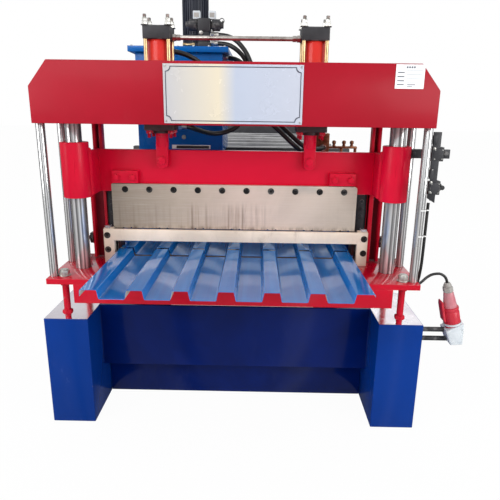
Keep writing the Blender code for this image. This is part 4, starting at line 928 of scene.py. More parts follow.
def build_table():
    """Table plate with its apron, on four levelling studs."""
    low, high = TABLE_LOW, TABLE_HIGH
    plate = box((low.x, low.y, TABLE_UNDERSIDE), (high.x, high.y, TABLE_TOP), 0.0012)
    apron = box((-APRON_HALF, low.y, APRON_LOW),
                (APRON_HALF, low.y + APRON_THICK, TABLE_UNDERSIDE + 0.001), 0.0012)
    seam_y, seam_z = low.y + APRON_THICK + 0.001, TABLE_UNDERSIDE - 0.001
    under = weld((-APRON_HALF + 0.004, seam_y, seam_z), (APRON_HALF - 0.004, seam_y, seam_z), 0.0032, 0.006)
    studs, heads = [], []
    foot = LEG_TOP + 0.0003
    for side in (-1, 1):
        for setback in STUD_SETBACKS:
            place = (side * STUD_X, y_at(setback), 0)
            studs.append(turned([(0, foot), (0.0115, foot), (0.0125, foot + 0.014), (0.0185, foot + 0.020),
                                 (0.0185, foot + 0.022), (0, foot + 0.022)], place, steps=40))
            studs.append(hexagon(0.0205, foot + 0.022, foot + 0.036, place, chamfer=0.2))
            studs.append(bar(0.0130, foot + 0.036, TABLE_UNDERSIDE + 0.001, place, steps=40, edge=0))
            studs.append(hexagon(0.0178, TABLE_UNDERSIDE - 0.018, TABLE_UNDERSIDE + 0.0005, place))
            top = (side * (STUD_X - 0.003), y_at(setback - 0.007), TABLE_TOP)
            heads.append(bar(0.0215, 0.0003, 0.0036, top, steps=48))
            heads.append(hexagon(0.0195, 0.0036, 0.0225, top, chamfer=0.05))
            heads.append(bar(0.0150, 0.0225, 0.0262, top, steps=40))
    store("table_plate", joined(plate, apron, under, *studs), "table", nodes=["table"])
    store("table_bolts", joined(*heads), "zinc")


def build_portal():
    """The ground portal with its bolts and shims, the die bar in it, and guides beside the sheet."""
    low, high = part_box("portal")
    store("portal_frame", copied("portal", 0.0008), "steel", nodes=["portal"])
    bolts, shims, guides = [], [], []
    washer = 0.0008
    for side in (-1, 1):
        for height in (0.756, 0.695):
            x = side * PORTAL_BOLT_X
            bolts.append(bar(0.0132, -0.0004, washer, (x, low.y, height), "-Y", 36, 0))
            bolts.append(socket_bolt(0.0118, 0.0034, (x, low.y - washer, height), "-Y"))
        for rise, shift in ((0.0002, 0.0), (0.0038, 0.003), (0.0074, 0.001)):
            x = side * (0.5290 - shift)
            base = high.z + rise
            shims.append(box((x - 0.011, low.y + 0.002, base), (x + 0.011, low.y + 0.030, base + 0.0033),
                             0.0005, 1))
        x0, x1 = sorted((side * 0.4925, side * 0.5030))
        guides.append(box((x0, high.y + 0.0235, 0.668), (x1, high.y + 0.095, 0.800), 0.001))
    store("portal_bolts", joined(*bolts), "oxide")
    store("portal_shims", joined(*shims), "mirror")
    store("side_guides", joined(*guides), "gland")
    # The die bar takes the dark die steel as painted shade inside the portal.
    store("die_bar", copied("lower_die", 0.0006), "die", nodes=["lower_die"])


def build_blade():
    """The blade plate with nicks along its cutting edge and ten socket screws."""
    low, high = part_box("blade")
    low.x, high.x = low.x + BLADE_SHIFT, high.x + BLADE_SHIFT
    nick, corner, washer = 0.0042, 0.010, 0.0007
    outline = [(low.x, low.z)]
    for rib in RIB_CENTRES:
        for shift in (-0.0165, 0.0165):
            middle = rib + shift
            outline += [(middle - nick * math.cos(a), low.z + nick * 0.8 * math.sin(a))
                        for a in (0.0, 0.6, 1.2, math.pi / 2, 1.94, 2.54, math.pi)]
    outline.append((high.x, low.z))
    outline += [(high.x - corner + corner * math.cos(a), high.z - corner + corner * math.sin(a))
                for a in (0.0, 0.4, 0.8, 1.2, math.pi / 2)]
    outline += [(low.x + corner * 0.3, high.z), (low.x, high.z - corner * 0.3)]
    plate = prism(outline, high.y - low.y, low.y, edge=0.0004, segments=1)
    store("blade_plate", plate, "blade", "cutter", ["blade"])
    screws = []
    for number in range(10):
        x = SCREW_PITCH * (number - 4.5) - 0.0055
        screws.append(bar(0.0128, -0.0004, washer, (x, low.y, SCREW_HEIGHT), "-Y", 40, 0))
        screws.append(socket_bolt(0.0112, 0.0036, (x, low.y - washer, SCREW_HEIGHT), "-Y"))
    store("blade_screws", joined(*screws), "oxide", "cutter")


def build_moving_beam():
    """The beam plate, its two guide sleeves on gussets, and the clamp bars over the blade."""
    front = BLADE_BACK + 0.0003
    parts = [box((-BEAM_REACH, front, BEAM_LOW), (BEAM_REACH, front + BEAM_THICK, BEAM_HIGH), 0.0015)]
    seams, bolts = [], []
    for side, word in SIDES:
        column = centre(f"column_{word}")
        wall = [(SLEEVE_BORE, SLEEVE_LOW), (SLEEVE_RADIUS, SLEEVE_LOW), (SLEEVE_RADIUS, SLEEVE_HIGH),
                (SLEEVE_BORE, SLEEVE_HIGH), (SLEEVE_BORE, SLEEVE_LOW)]
        parts.append(turned(wall, (column.x, column.y, 0), edge=0.0022, segments=3))
        gusset = column.x - side * 0.051
        face = gusset - side * GUSSET_THICK / 2
        start, end = column.y + 0.003, front + 0.012
        outline = [(start, BEAM_LOW), (end, BEAM_LOW), (end, BEAM_HIGH + 0.002),
                   (column.y + 0.032, BEAM_HIGH + 0.002), (column.y + 0.022, BEAM_HIGH + 0.005),
                   (start, BEAM_HIGH + 0.014)]
        parts.append(prism(outline, GUSSET_THICK, gusset - GUSSET_THICK / 2, "YZX", 0.0012))
        y = column.y + 0.009
        seams.append(weld((face, y, BEAM_LOW + 0.006), (face, y, BEAM_HIGH + 0.004), 0.0034, 0.0062))
        x, y = column.x - side * 0.012, column.y - 0.0512
        seams.append(weld((x, y, 1.03), (x, y, 1.075), 0.0016, 0.003))
    for x0, x1 in CLAMPS:
        parts.append(box((x0, front - 0.020, 0.970), (x1, front + 0.012, 1.021), 0.0016))
        for x in (x0 + 0.020, x1 - 0.020):
            place = (x, front - 0.020, 0.9945)
            bolts.append(bar(0.0150, 0, 0.0024, place, "-Y", 36))
            bolts.append(hexagon(0.0125, 0.0024, 0.0130, place, "-Y"))
    store("beam_weldment", joined(*parts), "beam", "cutter", ["moving_beam"])
    store("beam_welds", joined(*seams), "beam", "cutter")
    store("clamp_bolts", joined(*bolts), "beam", "cutter")


def build_pistons():
    """Red painted piston rods, each pinned to the beam through a tongue."""
    half, foot, thick = 0.023, 0.016, 0.030
    face = BLADE_BACK - thick
    for side, word in SIDES:
        low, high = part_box(f"piston_{word}")
        x = side * CYLINDER_X
        rod = turned([(0, 1.118), (0.0235, 1.118), (0.0250, 1.121), (0.0250, high.z), (0, high.z)],
                     (x, CYLINDER_Y, 0), edge=0)
        turns = (math.pi * share for share in (1, 1.17, 1.33, 1.5, 1.67, 1.83, 2))
        arc = [(x + half * math.cos(a), low.z + foot + foot * math.sin(a)) for a in turns]
        tongue = prism(arc + [(x + half, 1.1375), (x - half, 1.1375)], thick, face, edge=0.0015)
        pin = joined(bar(0.0205, 0, 0.0026, (x, face, 1.065), "-Y", 40),
                     hexagon(0.0172, 0.0026, 0.0120, (x, face, 1.065), "-Y"))
        store(f"piston_rod_{word}", joined(rod, tongue, pin), "beam", "cutter",
              [f"piston_{word}"])


def build_guides():
    """Chromed columns and tie rods between the table and the top beam."""
    nodes = [(f"column_{word}", 96) for word in WORDS]
    nodes += [(f"tie_rod_{row}_{word}", 64) for word in WORDS for row in ("front", "rear")]
    for node, steps in nodes:
        low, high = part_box(node)
        middle = centre(node)
        radius = (high.y - low.y) / 2
        store(f"chromed_{node}", bar(radius, low.z, high.z, (middle.x, middle.y, 0), steps=steps), "chrome",
              nodes=[node])


def channel(width, middle, y, low, high):
    """An upright channel, open to the front."""
    w, d, t = width / 2, POST_DEPTH, POST_WALL
    outline = [(-w, 0), (-w + t, 0), (-w + t, d - t), (w - t, d - t), (w - t, 0), (w, 0), (w, d), (-w, d)]
    return prism([(middle + a, y + b) for a, b in outline], high - low, low, "XYZ", 0.0012)


def build_posts():
    """Stepped channel posts with painted shade panels inside, and the black blocks that keep the blade's ends
    in line.
    """
    for side, word in SIDES:
        low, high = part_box(f"post_{word}")
        x0, x1 = sorted((side * POST_INNER, side * (POST_INNER + POST_WIDTH)))
        middle = side * (POST_INNER + POST_WIDTH / 2)
        head = side * (POST_INNER + POST_HEAD_MIDDLE)
        shoulder = box((x0, low.y, POST_SHOULDER - 0.0035), (x1, low.y + POST_DEPTH, POST_SHOULDER + 0.0035),
                       0.001)
        parts = [channel(POST_WIDTH, middle, low.y, low.z, POST_SHOULDER),
                 channel(POST_HEAD, head, low.y, POST_SHOULDER, high.z), shoulder]
        if side > 0:
            edge_strip = box((POST_INNER, low.y, low.z),
                             (POST_INNER + 0.028, low.y + 0.012, POST_SHOULDER - 0.004), 0.001)
            parts.append(edge_strip)
        store(f"post_channel_{word}", joined(*parts), "guard", nodes=[f"post_{word}"])
        # Dark red panels just inside each channel's back wall: painted shade within the channel.
        front, back = low.y + 0.0276, low.y + 0.0288
        shade_panels = [box((middle - 0.0215, front, low.z + 0.001),
                    (middle + 0.0215, back, POST_SHOULDER - 0.0037), 0),
                box((head - 0.0078, front, POST_SHOULDER + 0.0037), (head + 0.0078, back, high.z - 0.001), 0)]
        store(f"post_shade_panel_{word}", joined(*shade_panels), "shade")
        x0, x1 = (0.508, 0.5457) if side > 0 else (-0.5457, -0.5155)
        face = low.y + 0.0075
        block = box((x0, face, low.z), (x1, low.y + 0.034, 0.927), 0.002)
        screws = [hex_bolt(0.0075, 0.006, (side * 0.526, face, height), "-Y")
                  for height in (0.835, 0.868, 0.900)]
        store(f"blade_guide_{word}", joined(block, *screws), "black")
        knob = (side * (POST_INNER + POST_WIDTH + 0.0002), low.y + 0.020, 0.7235)
        axis = "X" if side > 0 else "-X"
        nut = joined(bar(0.0270, 0, 0.0035, knob, axis, 48), hexagon(0.0255, 0.0035, 0.0165, knob, axis),
                     threaded(0.0115, 0.0165, 0.0225, knob, axis))
        store(f"post_nut_{word}", nut, "oxide")


def notched(half_x, half_z, cut=0.0160):
    """A rectangle with hollow quarter-round corners, around its own centre."""
    turns = [math.radians(15 * k) for k in range(7)]
    quarter = [(half_x - cut * math.sin(turn), half_z - cut * math.cos(turn)) for turn in turns]
    points = []
    for sx, sz, flip in ((1, 1, False), (-1, 1, True), (-1, -1, False), (1, -1, True)):
        corner = [(sx * a, sz * b) for a, b in quarter]
        points += corner[::-1] if flip else corner
    return points


def band(outer, inner, y, middle, thick=0.0003):
    """A thin line of ink between two closed outlines in X and Z."""
    shape = bmesh.new()
    rows = [[shape.verts.new((middle[0] + a, y, middle[1] + b)) for a, b in outline]
            for outline in (outer, inner)]
    for number in range(len(outer)):
        shape.faces.new((rows[0][number - 1], rows[0][number], rows[1][number], rows[1][number - 1]))
    grown = bmesh.ops.extrude_face_region(shape, geom=list(shape.faces))
    push_out(shape, grown["geom"], (0, -thick, 0))
    return shape


def build_top_beam():
    """The top beam with its bare sign plate and a ruled rating label."""
    store("top_beam_shell", copied("top_beam", 0.002), "red", nodes=["top_beam"])
    low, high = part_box("sign_plate")
    store("sign_face", copied("sign_plate", 0.0006, 1), "sign", nodes=["sign_plate"])
    middle = ((low.x + high.x) / 2, (low.z + high.z) / 2)
    half_x, half_z = (high.x - low.x) / 2, (high.z - low.z) / 2
    margin, line = 0.0075, 0.0030
    border = band(notched(half_x - margin, half_z - margin),
                  notched(half_x - margin - line, half_z - margin - line), low.y - 0.00005, middle)
    store("sign_border", border, "ink")
    x, z = half_x - margin, half_z - margin
    screws = [turned([(0, 0), (0.0036, 0), (0.0032, 0.0012), (0, 0.0019)],
                     (middle[0] + a * x, low.y, middle[1] + b * z), "-Y", 24, 0)
              for a in (-1, 1) for b in (-1, 1)]
    store("sign_screws", joined(*screws), "zinc")
    low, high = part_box("rating_plate")
    store("label_face", copied("rating_plate", 0.0003, 1), "label", nodes=["rating_plate"])
    width, height = high.x - low.x, high.z - low.z
    rules = [(0.36 + 0.082 * number, 0.412 + 0.082 * number, 0.88, 0.0055) for number in range(4)]
    rules += [(0.38, 0.93, z, 0.0007) for z in (0.76, 0.59, 0.42, 0.25)]
    rules += [(0.07, 0.30, z, 0.0030) for z in (0.67, 0.50, 0.33, 0.17)]
    rules += [(0.42, 0.70, 0.17, 0.0022), (0.42, 0.60, 0.10, 0.0016)]
    bars = [box((low.x + width * x0, low.y - 0.0003, low.z + height * z - thick / 2),
                (low.x + width * x1, low.y - 0.00002, low.z + height * z + thick / 2), 0)
            for x0, x1, z, thick in rules]
    store("label_rules", joined(*bars), "ink")


def stay_places(side):
    """Where the four stays of a cylinder stand."""
    return [(side * CYLINDER_X + i * STAY_SPREAD, CYLINDER_Y + j * STAY_SPREAD, 0)
            for i in (-1, 1) for j in (-1, 1)]


def build_cylinders():
    """Cylinders that hang through the top beam: flange below, cap above, four stays between them."""
    flange_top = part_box("top_beam")[0].z - 0.0003
    flange_low = flange_top - 0.028
    for side, word in SIDES:
        x, y = side * CYLINDER_X, CYLINDER_Y
        tube_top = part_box(f"cylinder_{word}")[1].z
        cap_low = tube_top + 0.0003
        cap_high = cap_low + 0.048
        tube = turned([(0, flange_top - 0.002), (0.044, flange_top - 0.002), (0.044, tube_top - 0.004),
                       (0.0425, tube_top - 0.0015), (0.0425, tube_top), (0, tube_top)], (x, y, 0), edge=0)
        store(f"cylinder_tube_{word}", tube, "tube", nodes=[f"cylinder_{word}"])
        flange = box((x - FLANGE_HALF, y - FLANGE_HALF, flange_low),
                     (x + FLANGE_HALF, y + FLANGE_HALF, flange_top), 0.003, 3)
        tails = []
        for place in stay_places(side):
            tails.append(hexagon(0.0118, flange_low - 0.0120, flange_low + 0.0002, place))
            tails.append(threaded(0.0066, flange_low - 0.028, flange_low - 0.0118, place, steps=20))
        # The flange takes the dark gland finish as painted shade under the top beam.
        store(f"cylinder_flange_{word}", flange, "gland")
        store(f"flange_nuts_{word}", joined(*tails), "guard")
        neck = ring(0.0256, 0.0345, flange_low - 0.0125, flange_low + 0.0004, (x, y, 0), edge=0.0015)
        store(f"cylinder_neck_{word}", neck, "gland")
        cap = box((x - CAP_HALF, y - CAP_HALF, cap_low), (x + CAP_HALF, y + CAP_HALF, cap_high), 0.0035, 3)
        washer_top = cap_high + 0.0012
        bosses = [bar(0.0150, cap_high - 0.001, washer_top, place, steps=40) for place in stay_places(side)]
        port = bar(0.0150, 0, 0.0015, (x, y + CAP_HALF, cap_low + 0.024), "Y", 40)
        store(f"cylinder_cap_{word}", joined(cap, port, *bosses), "black",
              nodes=[f"cap_{word}"])
        stays, nuts = [], []
        for place in stay_places(side):
            stays.append(bar(0.0075, flange_top + 0.0003, cap_low, place, steps=32, edge=0))
            nuts.append(bar(0.0124, washer_top, cap_high + 0.0032, place, steps=36))
            nuts.append(hexagon(0.0118, cap_high + 0.0032, cap_high + 0.0150, place))
            nuts.append(hexagon(0.0098, cap_high + 0.0150, cap_high + 0.0250, place))
            nuts.append(threaded(0.0068, cap_high + 0.0250, cap_high + 0.0378, place))
        store(f"cylinder_stays_{word}", joined(*stays), "gold")
        store(f"cylinder_nuts_{word}", joined(*nuts), "zinc")


def build_cross_pipe():
    """The bright pipe between the two caps, with a nut pair at each end."""
    low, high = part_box("cap_pipe")
    middle = centre("cap_pipe")
    pipe = [bar(0.0085, low.x + 0.0002, high.x - 0.0002, (0, middle.y, middle.z), "X", 48)]
    for end, axis in ((low.x, "X"), (high.x, "-X")):
        pipe.append(hexagon(0.0135, 0.0005, 0.014, (end, middle.y, middle.z), axis))
        pipe.append(hexagon(0.0120, 0.016, 0.030, (end, middle.y, middle.z), axis))
    store("cross_pipe", joined(*pipe), "pipe", nodes=["cap_pipe"])


def roller_switch(rod_y, low):
    """One switch from its lower edge up: body, lid, roller arm and cable gland, and the lid's screws."""
    x = SWITCH_X
    clip = low + 0.062
    gland_place = (x + 0.016, rod_y + 0.010, low)
    parts = [
        box((x - 0.0006, rod_y - 0.008, clip), (x + 0.012, rod_y + 0.008, clip + 0.030), 0.0012),
        box((x + 0.003, rod_y + 0.003, low), (x + 0.045, rod_y + 0.050, low + 0.050), 0.0022, 3),
        box((x + 0.006, rod_y - 0.0065, low + 0.004), (x + 0.040, rod_y + 0.004, low + 0.046), 0.002, 3),
        turned([(0, 0), (0.0135, 0), (0.0135, 0.007), (0.0105, 0.010), (0, 0.010)],
               (x + 0.045, rod_y + 0.024, low + 0.026), "X", 40),
        box((x + 0.051, rod_y + 0.010, low + 0.020), (x + 0.056, rod_y + 0.030, low + 0.032), 0.001),
        joined(hexagon(0.0085, 0, 0.008, gland_place, "-Z"),
               turned([(0, 0.008), (0.0065, 0.008), (0.0045, 0.014), (0, 0.014)], gland_place, "-Z", 24)),
        bar(0.0085, 0, 0.006, (x + 0.0535, rod_y + 0.010, low + 0.026), "-Y", 36)]
    screws = [socket_bolt(0.0022, 0.0012, (x + a, rod_y - 0.0065, low + b), "-Y")
              for a, b in ((0.010, 0.009), (0.036, 0.009), (0.010, 0.041), (0.036, 0.041))]
    return parts, screws


def build_switches():
    """Striker, bracket and the two roller switches."""
    low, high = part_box("striker")
    bolt = hex_bolt(0.0075, 0.006, (low.x + 0.010, low.y, (low.z + high.z) / 2), "-Y")
    striker = joined(box(low, high, 0.0015), bolt)
    store("striker_bar", striker, "black", "cutter", ["striker"])
    rod_y = y_at(ROD_SETBACK)
    outline = [(SWITCH_X, 0.962), (SWITCH_X + 0.028, 0.945), (SWITCH_X + 0.028, 1.198), (SWITCH_X, 1.198)]
    parts = [prism(outline, 0.008, rod_y - 0.004, edge=0.0012)]
    screws = []
    for height in (0.974, 1.095):
        switch, lid_screws = roller_switch(rod_y, height)
        parts += switch
        screws += lid_screws
    for height in (1.176, 1.140, 1.062, 1.020, 0.985):
        screws.append(hex_bolt(0.0042, 0.0038, (SWITCH_X + 0.007, rod_y - 0.004, height), "-Y"))
    store("switch_carrier", joined(*parts), "black", nodes=["switch_bracket"])
    store("switch_screws", joined(*screws), "zinc")


def build_lead_ties():
    """Cable ties that hold the lead to the rod, and the two short tails below the switches."""
    rod_y = y_at(ROD_SETBACK)
    ties = []
    for height in (1.031, 0.918, 0.820):
        low, high = height - 0.002, height + 0.002
        ties.append(ring(0.0157, 0.0168, low, high, (ROD_X, rod_y, 0), steps=48, edge=0))
        ties.append(box((0.6985, rod_y - 0.0180, height - 0.003),
                        (0.7035, rod_y - 0.0125, height + 0.003), 0.0006))
        if height < LEAD_TOP:
            ties.append(ring(0.0060, 0.0071, low, high, (LEAD_X, rod_y + 0.002, 0), steps=32, edge=0))
    store("lead_ties", joined(*ties), "white_plastic")
    tails = [bar(0.0032, bottom, top, (SWITCH_X + 0.016, rod_y + 0.010, 0), steps=20, edge=0)
             for top, bottom in ((1.081, 1.040), (0.960, 0.952))]
    store("switch_tails", joined(*tails), "rubber")


def sheet_line():
    """Corners of the sheet's top surface from left to right, with a short lip at each end."""
    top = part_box("sheet_out")[1].z
    valley = top - RIB_HEIGHT
    points = []
    for rib in RIB_CENTRES:
        x = SHEET_SHIFT + rib
        points += [(x - RIB_FOOT / 2, valley), (x - RIB_TOP / 2, top), (x + RIB_TOP / 2, top),
                   (x + RIB_FOOT / 2, valley)]
    left, right = points[1][0] - 0.0030, points[-2][0] + 0.0080
    lean = 0.0015
    return ([(left - lean, top - LEFT_LIP), (left, top)] + points[2:-2]
            + [(right, top), (right + lean, top - RIGHT_LIP)])


def sheet_surface(low_y, high_y):
    """The folded sheet: a line drawn along Y in steps, narrow ones at the ends, with small bend radii."""
    shape = bmesh.new()
    line = [shape.verts.new((x, low_y, z)) for x, z in sheet_line()]
    edges = [shape.edges.new(pair) for pair in zip(line, line[1:])]
    steps = max(2, round((high_y - low_y) / SHEET_SEGMENT))
    broad = (high_y - low_y - 2 * SHEET_RIM) / steps
    for length in (SHEET_RIM, *[broad] * steps, SHEET_RIM):
        grown = bmesh.ops.extrude_edge_only(shape, edges=edges)["geom"]
        edges = [e for e in grown if isinstance(e, bmesh.types.BMEdge)]
        push_out(shape, grown, (0, length, 0))
    return bevelled(shape, bent_edges(shape, 20), BEND_RADIUS, 3)


def build_sheet():
    """The sheet before and behind the blade, blue above and pale below."""
    for node, word in (("sheet_out", "outgoing"), ("sheet_in", "incoming")):
        low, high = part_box(node)
        if word == "outgoing":
            high.y += SEAM_CLOSING
        else:
            low.y -= SEAM_CLOSING
        shape = sheet_surface(low.y, high.y)
        for f in shape.faces:
            if f.normal.z < 0:
                f.normal_flip()
        shape.normal_update()
        mesh = meshed(f"sheet_{word}", shape, FINISH["sheet"], FINISH["back"])
        mesh.shade_smooth()
        mesh.set_sharp_from_angle(angle=math.radians(50))
        piece = added(f"sheet_{word}", mesh)
        skin = piece.modifiers.new("thickness", "SOLIDIFY")
        skin.thickness = SHEET_THICK
        skin.offset = -1.0
        skin.material_offset = 1
        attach(piece, "frame")
        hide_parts(node)


def roll_profile(node, upper):
    """Half section of a roll and its shaft as (radius, X), with grooves or rims where the sheet has ribs."""
    low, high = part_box(node)
    shaft = high.x
    if upper:
        face, valley, widen = 0.5245, (high.z - low.z) / 2, 0.006
        crest = valley - RIB_HEIGHT
    else:
        face, valley, widen = 0.4933, 0.070, -0.0072
        crest = valley + RIB_HEIGHT
    foot, top = RIB_FOOT / 2 + widen, RIB_TOP / 2 + widen
    points = [(0, -shaft), (SHAFT_RADIUS, -shaft), (SHAFT_RADIUS, -face), (valley, -face)]
    for rib in RIB_CENTRES:
        x = SHEET_SHIFT + rib
        points += [(valley, x - foot), (crest, x - top), (crest, x + top), (valley, x + foot)]
    return points + [(valley, face), (SHAFT_RADIUS, face), (SHAFT_RADIUS, shaft), (0, shaft)]


def shaft_bearing(seat, side, axis):
    """A flanged bearing on the side frame, and its four bolts."""
    x, y, z = seat
    housing = [ring(0.0262, 0.046, 0.0003, FLANGE_THICK, seat, axis, 48),
               ring(0.0262, 0.038, FLANGE_THICK, 0.026, seat, axis, 48, 0.0012)]
    nuts = []
    for number in range(4):
        turn = math.radians(45 + 90 * number)
        across, up = BEARING_BOLTS * math.cos(turn), BEARING_BOLTS * math.sin(turn)
        spot = (x + side * FLANGE_THICK, y + across, z + up)
        nuts.append(hexagon(0.0058, 0, 0.005, spot, axis))
    return housing, nuts


def build_rolls():
    """Rolls, and the flanged bearings that carry their shafts outside the side frames."""
    housings, nuts = [], []
    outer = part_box("side_frame_right")[1].x
    for number in range(1, 7):
        for row in ("lower", "upper"):
            node = f"{row}_roll_{number}"
            middle = centre(node)
            place = (0, middle.y, middle.z)
            shape = turned(roll_profile(node, row == "upper"), place, "X", 48, 0.0008, 1)
            store(f"{row}_roller_{number}", shape, "chrome", f"{row}_shaft_{number}", [node])
            for side, axis in ((-1, "-X"), (1, "X")):
                housing, bolts = shaft_bearing((side * outer, middle.y, middle.z), side, axis)
                housings += housing
                nuts += bolts
    store("shaft_bearings", joined(*housings), "black")
    store("bearing_bolts", joined(*nuts), "zinc")


def build_former():
    """Base beams, side frames and the ladder of tie bars over the stands."""
    store("base_weldment", copied("former_base", 0.003, 2), "blue", nodes=["former_base"])
    for word in WORDS:
        low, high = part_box(f"side_frame_{word}")
        store(f"side_plate_{word}", box(low, high, 0.002), "blue",
              nodes=[f"side_frame_{word}"])
    low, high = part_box("tie_ladder")
    reach = high.x - 0.020
    bars = [bar(0.025, -reach, reach, (0, y_at(TIE_START + TIE_PITCH * number), 1.035), "X", 48)
            for number in range(7)]
    store("tie_bars", joined(*bars), "bar", nodes=["tie_ladder"])
    frames = [box((low.x, low.y, low.z), (low.x + 0.040, high.y, LADDER_RAIL), 0.0015),
              box((high.x - 0.040, low.y, low.z), (high.x, high.y, LADDER_RAIL), 0.0015),
              box((low.x, high.y - 0.020, low.z), (high.x, high.y, 1.120), 0.0015)]
    for setback in (0.575, 0.890):
        frames.append(box((low.x, y_at(setback), LADDER_RAIL - 0.001),
                          (high.x, y_at(setback + 0.050), 1.0703), 0.0015))
    store("ladder_frame", joined(*frames), "black")


def build_tank():
    """The oil tank with its lid, front fittings, and the bolts of the lid."""
    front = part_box("tank")[0].y
    store("tank_shell", copied("tank", 0.003, 3), "tank", nodes=["tank"])
    store("tank_lid_plate", copied("tank_lid", 0.0015), "tank", nodes=["tank_lid"])
    low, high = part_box("tank_lid")
    bolts = []
    for number in range(7):
        x = low.x + 0.016 + (high.x - low.x - 0.032) * number / 6
        for y in (low.y + 0.012, high.y - 0.012):
            bolts.append(hex_bolt(0.0050, 0.0045, (x, y, high.z)))
    store("tank_lid_bolts", joined(*bolts), "zinc")
    strip = box((-0.282, front - 0.007, 1.0900), (-0.134, front - 0.0002, 1.1020), 0.0015)
    strip_frame = box((-0.303, front - 0.004, 1.0870), (-0.128, front - 0.0002, 1.1050), 0.0010)
    store("tank_level_frame", strip_frame, "white_plastic")
    store("tank_level_strip", strip, "black")
    plug_place = (-0.248, front, 1.1397)
    plug = joined(bar(0.0065, 0, 0.010, plug_place, "-Y", 32),
                  bar(0.0100, 0.0002, 0.004, plug_place, "-Y", 32))
    store("tank_sight_plug", plug, "glass")


def build_motor():
    """The motor: foot flange, case with its cooling fins, and fan hood."""
    low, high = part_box("motor")
    middle = centre("motor")
    place = (middle.x, middle.y, 0)
    base = low.z
    core = [bar(0.076, base, base + 0.016, place, edge=0.0015),
            turned([(0, base + 0.016), (0.060, base + 0.016), (0.060, base + 0.028), (0.0545, base + 0.030),
                    (0.0545, high.z - 0.052), (0.060, high.z - 0.050), (0.061, high.z - 0.046),
                    (0.061, high.z - 0.006), (0.054, high.z), (0, high.z)], place, edge=0.001)]
    for number in range(MOTOR_FINS):
        fin = box((0.053, -0.0012, base + 0.034), (0.0608, 0.0012, high.z - 0.055), 0.0004, 1)
        turn = Matrix.Translation(place) @ Matrix.Rotation(math.tau * number / MOTOR_FINS, 4, "Z")
        bmesh.ops.transform(fin, matrix=turn, verts=fin.verts)
        core.append(fin)
    store("motor_case", joined(*core), "motor", nodes=["motor"])


def build_valve():
    """The valve block on the lid, its two coils with their connectors, and small fittings."""
    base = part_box("motor")[0].z
    x, y = VALVE_X, centre("valve").y
    blocks = [box((x - 0.027, y - 0.040, base), (x + 0.027, y + 0.040, base + 0.022), 0.0015),
              box((x - 0.022, y - 0.034, base + 0.022), (x + 0.022, y + 0.034, base + 0.066), 0.0015),
              box((x - 0.027, y - 0.038, base + 0.066), (x + 0.027, y + 0.038, base + 0.118), 0.002)]
    rise = base + 0.095
    coil = [(0, 0), (0.0165, 0), (0.0165, 0.005), (0.0248, 0.006), (0.0248, 0.040), (0.0165, 0.042),
            (0.0165, 0.046), (0.0135, 0.047), (0.0135, 0.0555), (0, 0.0555)]
    coils = [turned(coil, (x + side * 0.027, y, rise), axis, 48) for side, axis in ((-1, "-X"), (1, "X"))]
    store("valve_block", joined(*blocks, *coils), "black", nodes=["valve"])
    knob = ring(0.0080, 0.0125, 0.050, 0.0556, (x + 0.027, y, rise + 0.006), "X", 32)
    eye = ring(0.0085, 0.0115, -0.002, 0.002, (x + 0.0755, y, rise + 0.018), "Y", 32)
    store("coil_ring", joined(knob, eye), "oxide")
    boxes, panels = [], []
    for side in (-1, 1):
        middle = x + side * 0.034
        boxes.append(box((middle - 0.0155, y - 0.0155, rise + 0.022),
                         (middle + 0.0155, y + 0.0155, rise + 0.056), 0.002, 3))
        panels.append(box((middle - 0.0105, y - 0.0159, rise + 0.030),
                          (middle + 0.0105, y - 0.0152, rise + 0.048), 0.0002, 1))
    store("coil_connectors", joined(*boxes), "grey_plastic")
    store("connector_panels", joined(*panels), "gland_plastic")
    stub = (x - 0.0400, y - 0.040, base + 0.0095)
    fittings = [hexagon(0.0085, 0, 0.012, (x - 0.0415, *stub[1:]), "-X"),
                bar(0.0062, 0.0, 0.050, stub, "-X", 32),
                hexagon(0.0080, 0.040, 0.052, stub, "-X")]
    store("brass_fitting", joined(*fittings), "gold")
    plugs = joined(hexagon(0.0090, 0, 0.006, (x - 0.012, y - 0.034, base + 0.060), "-Y"),
                   hexagon(0.0075, 0, 0.008, (x + 0.012, y - 0.034, base + 0.034), "-Y"))
    store("valve_plugs", plugs, "zinc")


def build_distributor():
    """The hose block on the front bearer, with its copper bar and small cocks."""
    low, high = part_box("distributor")
    block = box(low, (low.x + 0.060, high.y, high.z), 0.002)
    y = (low.y + high.y) / 2
    rod_top = low.z + 0.034
    rod = box((low.x + 0.030, y - 0.015, low.z + 0.024), (high.x, y + 0.015, rod_top), 0.0015)
    feet = [box((x, y - 0.006, low.z), (x + 0.012, y + 0.006, low.z + 0.029), 0.001) for x in (0.468, 0.533)]
    cock = [(0, 0), (0.008, 0), (0.006, 0.010), (0.009, 0.012), (0.009, 0.022), (0.004, 0.026), (0, 0.026)]
    cocks = [turned(cock, (x, y, rod_top), steps=32) for x in (0.440, 0.486, 0.522)]
    ports = [hexagon(0.0120, 0, 0.010, (low.x + shift, low.y, low.z + 0.066), "-Y")
             for shift in (0.018, 0.042)]
    store("hose_block", joined(block, rod, *feet, *cocks, *ports), "brass",
          nodes=["distributor"])


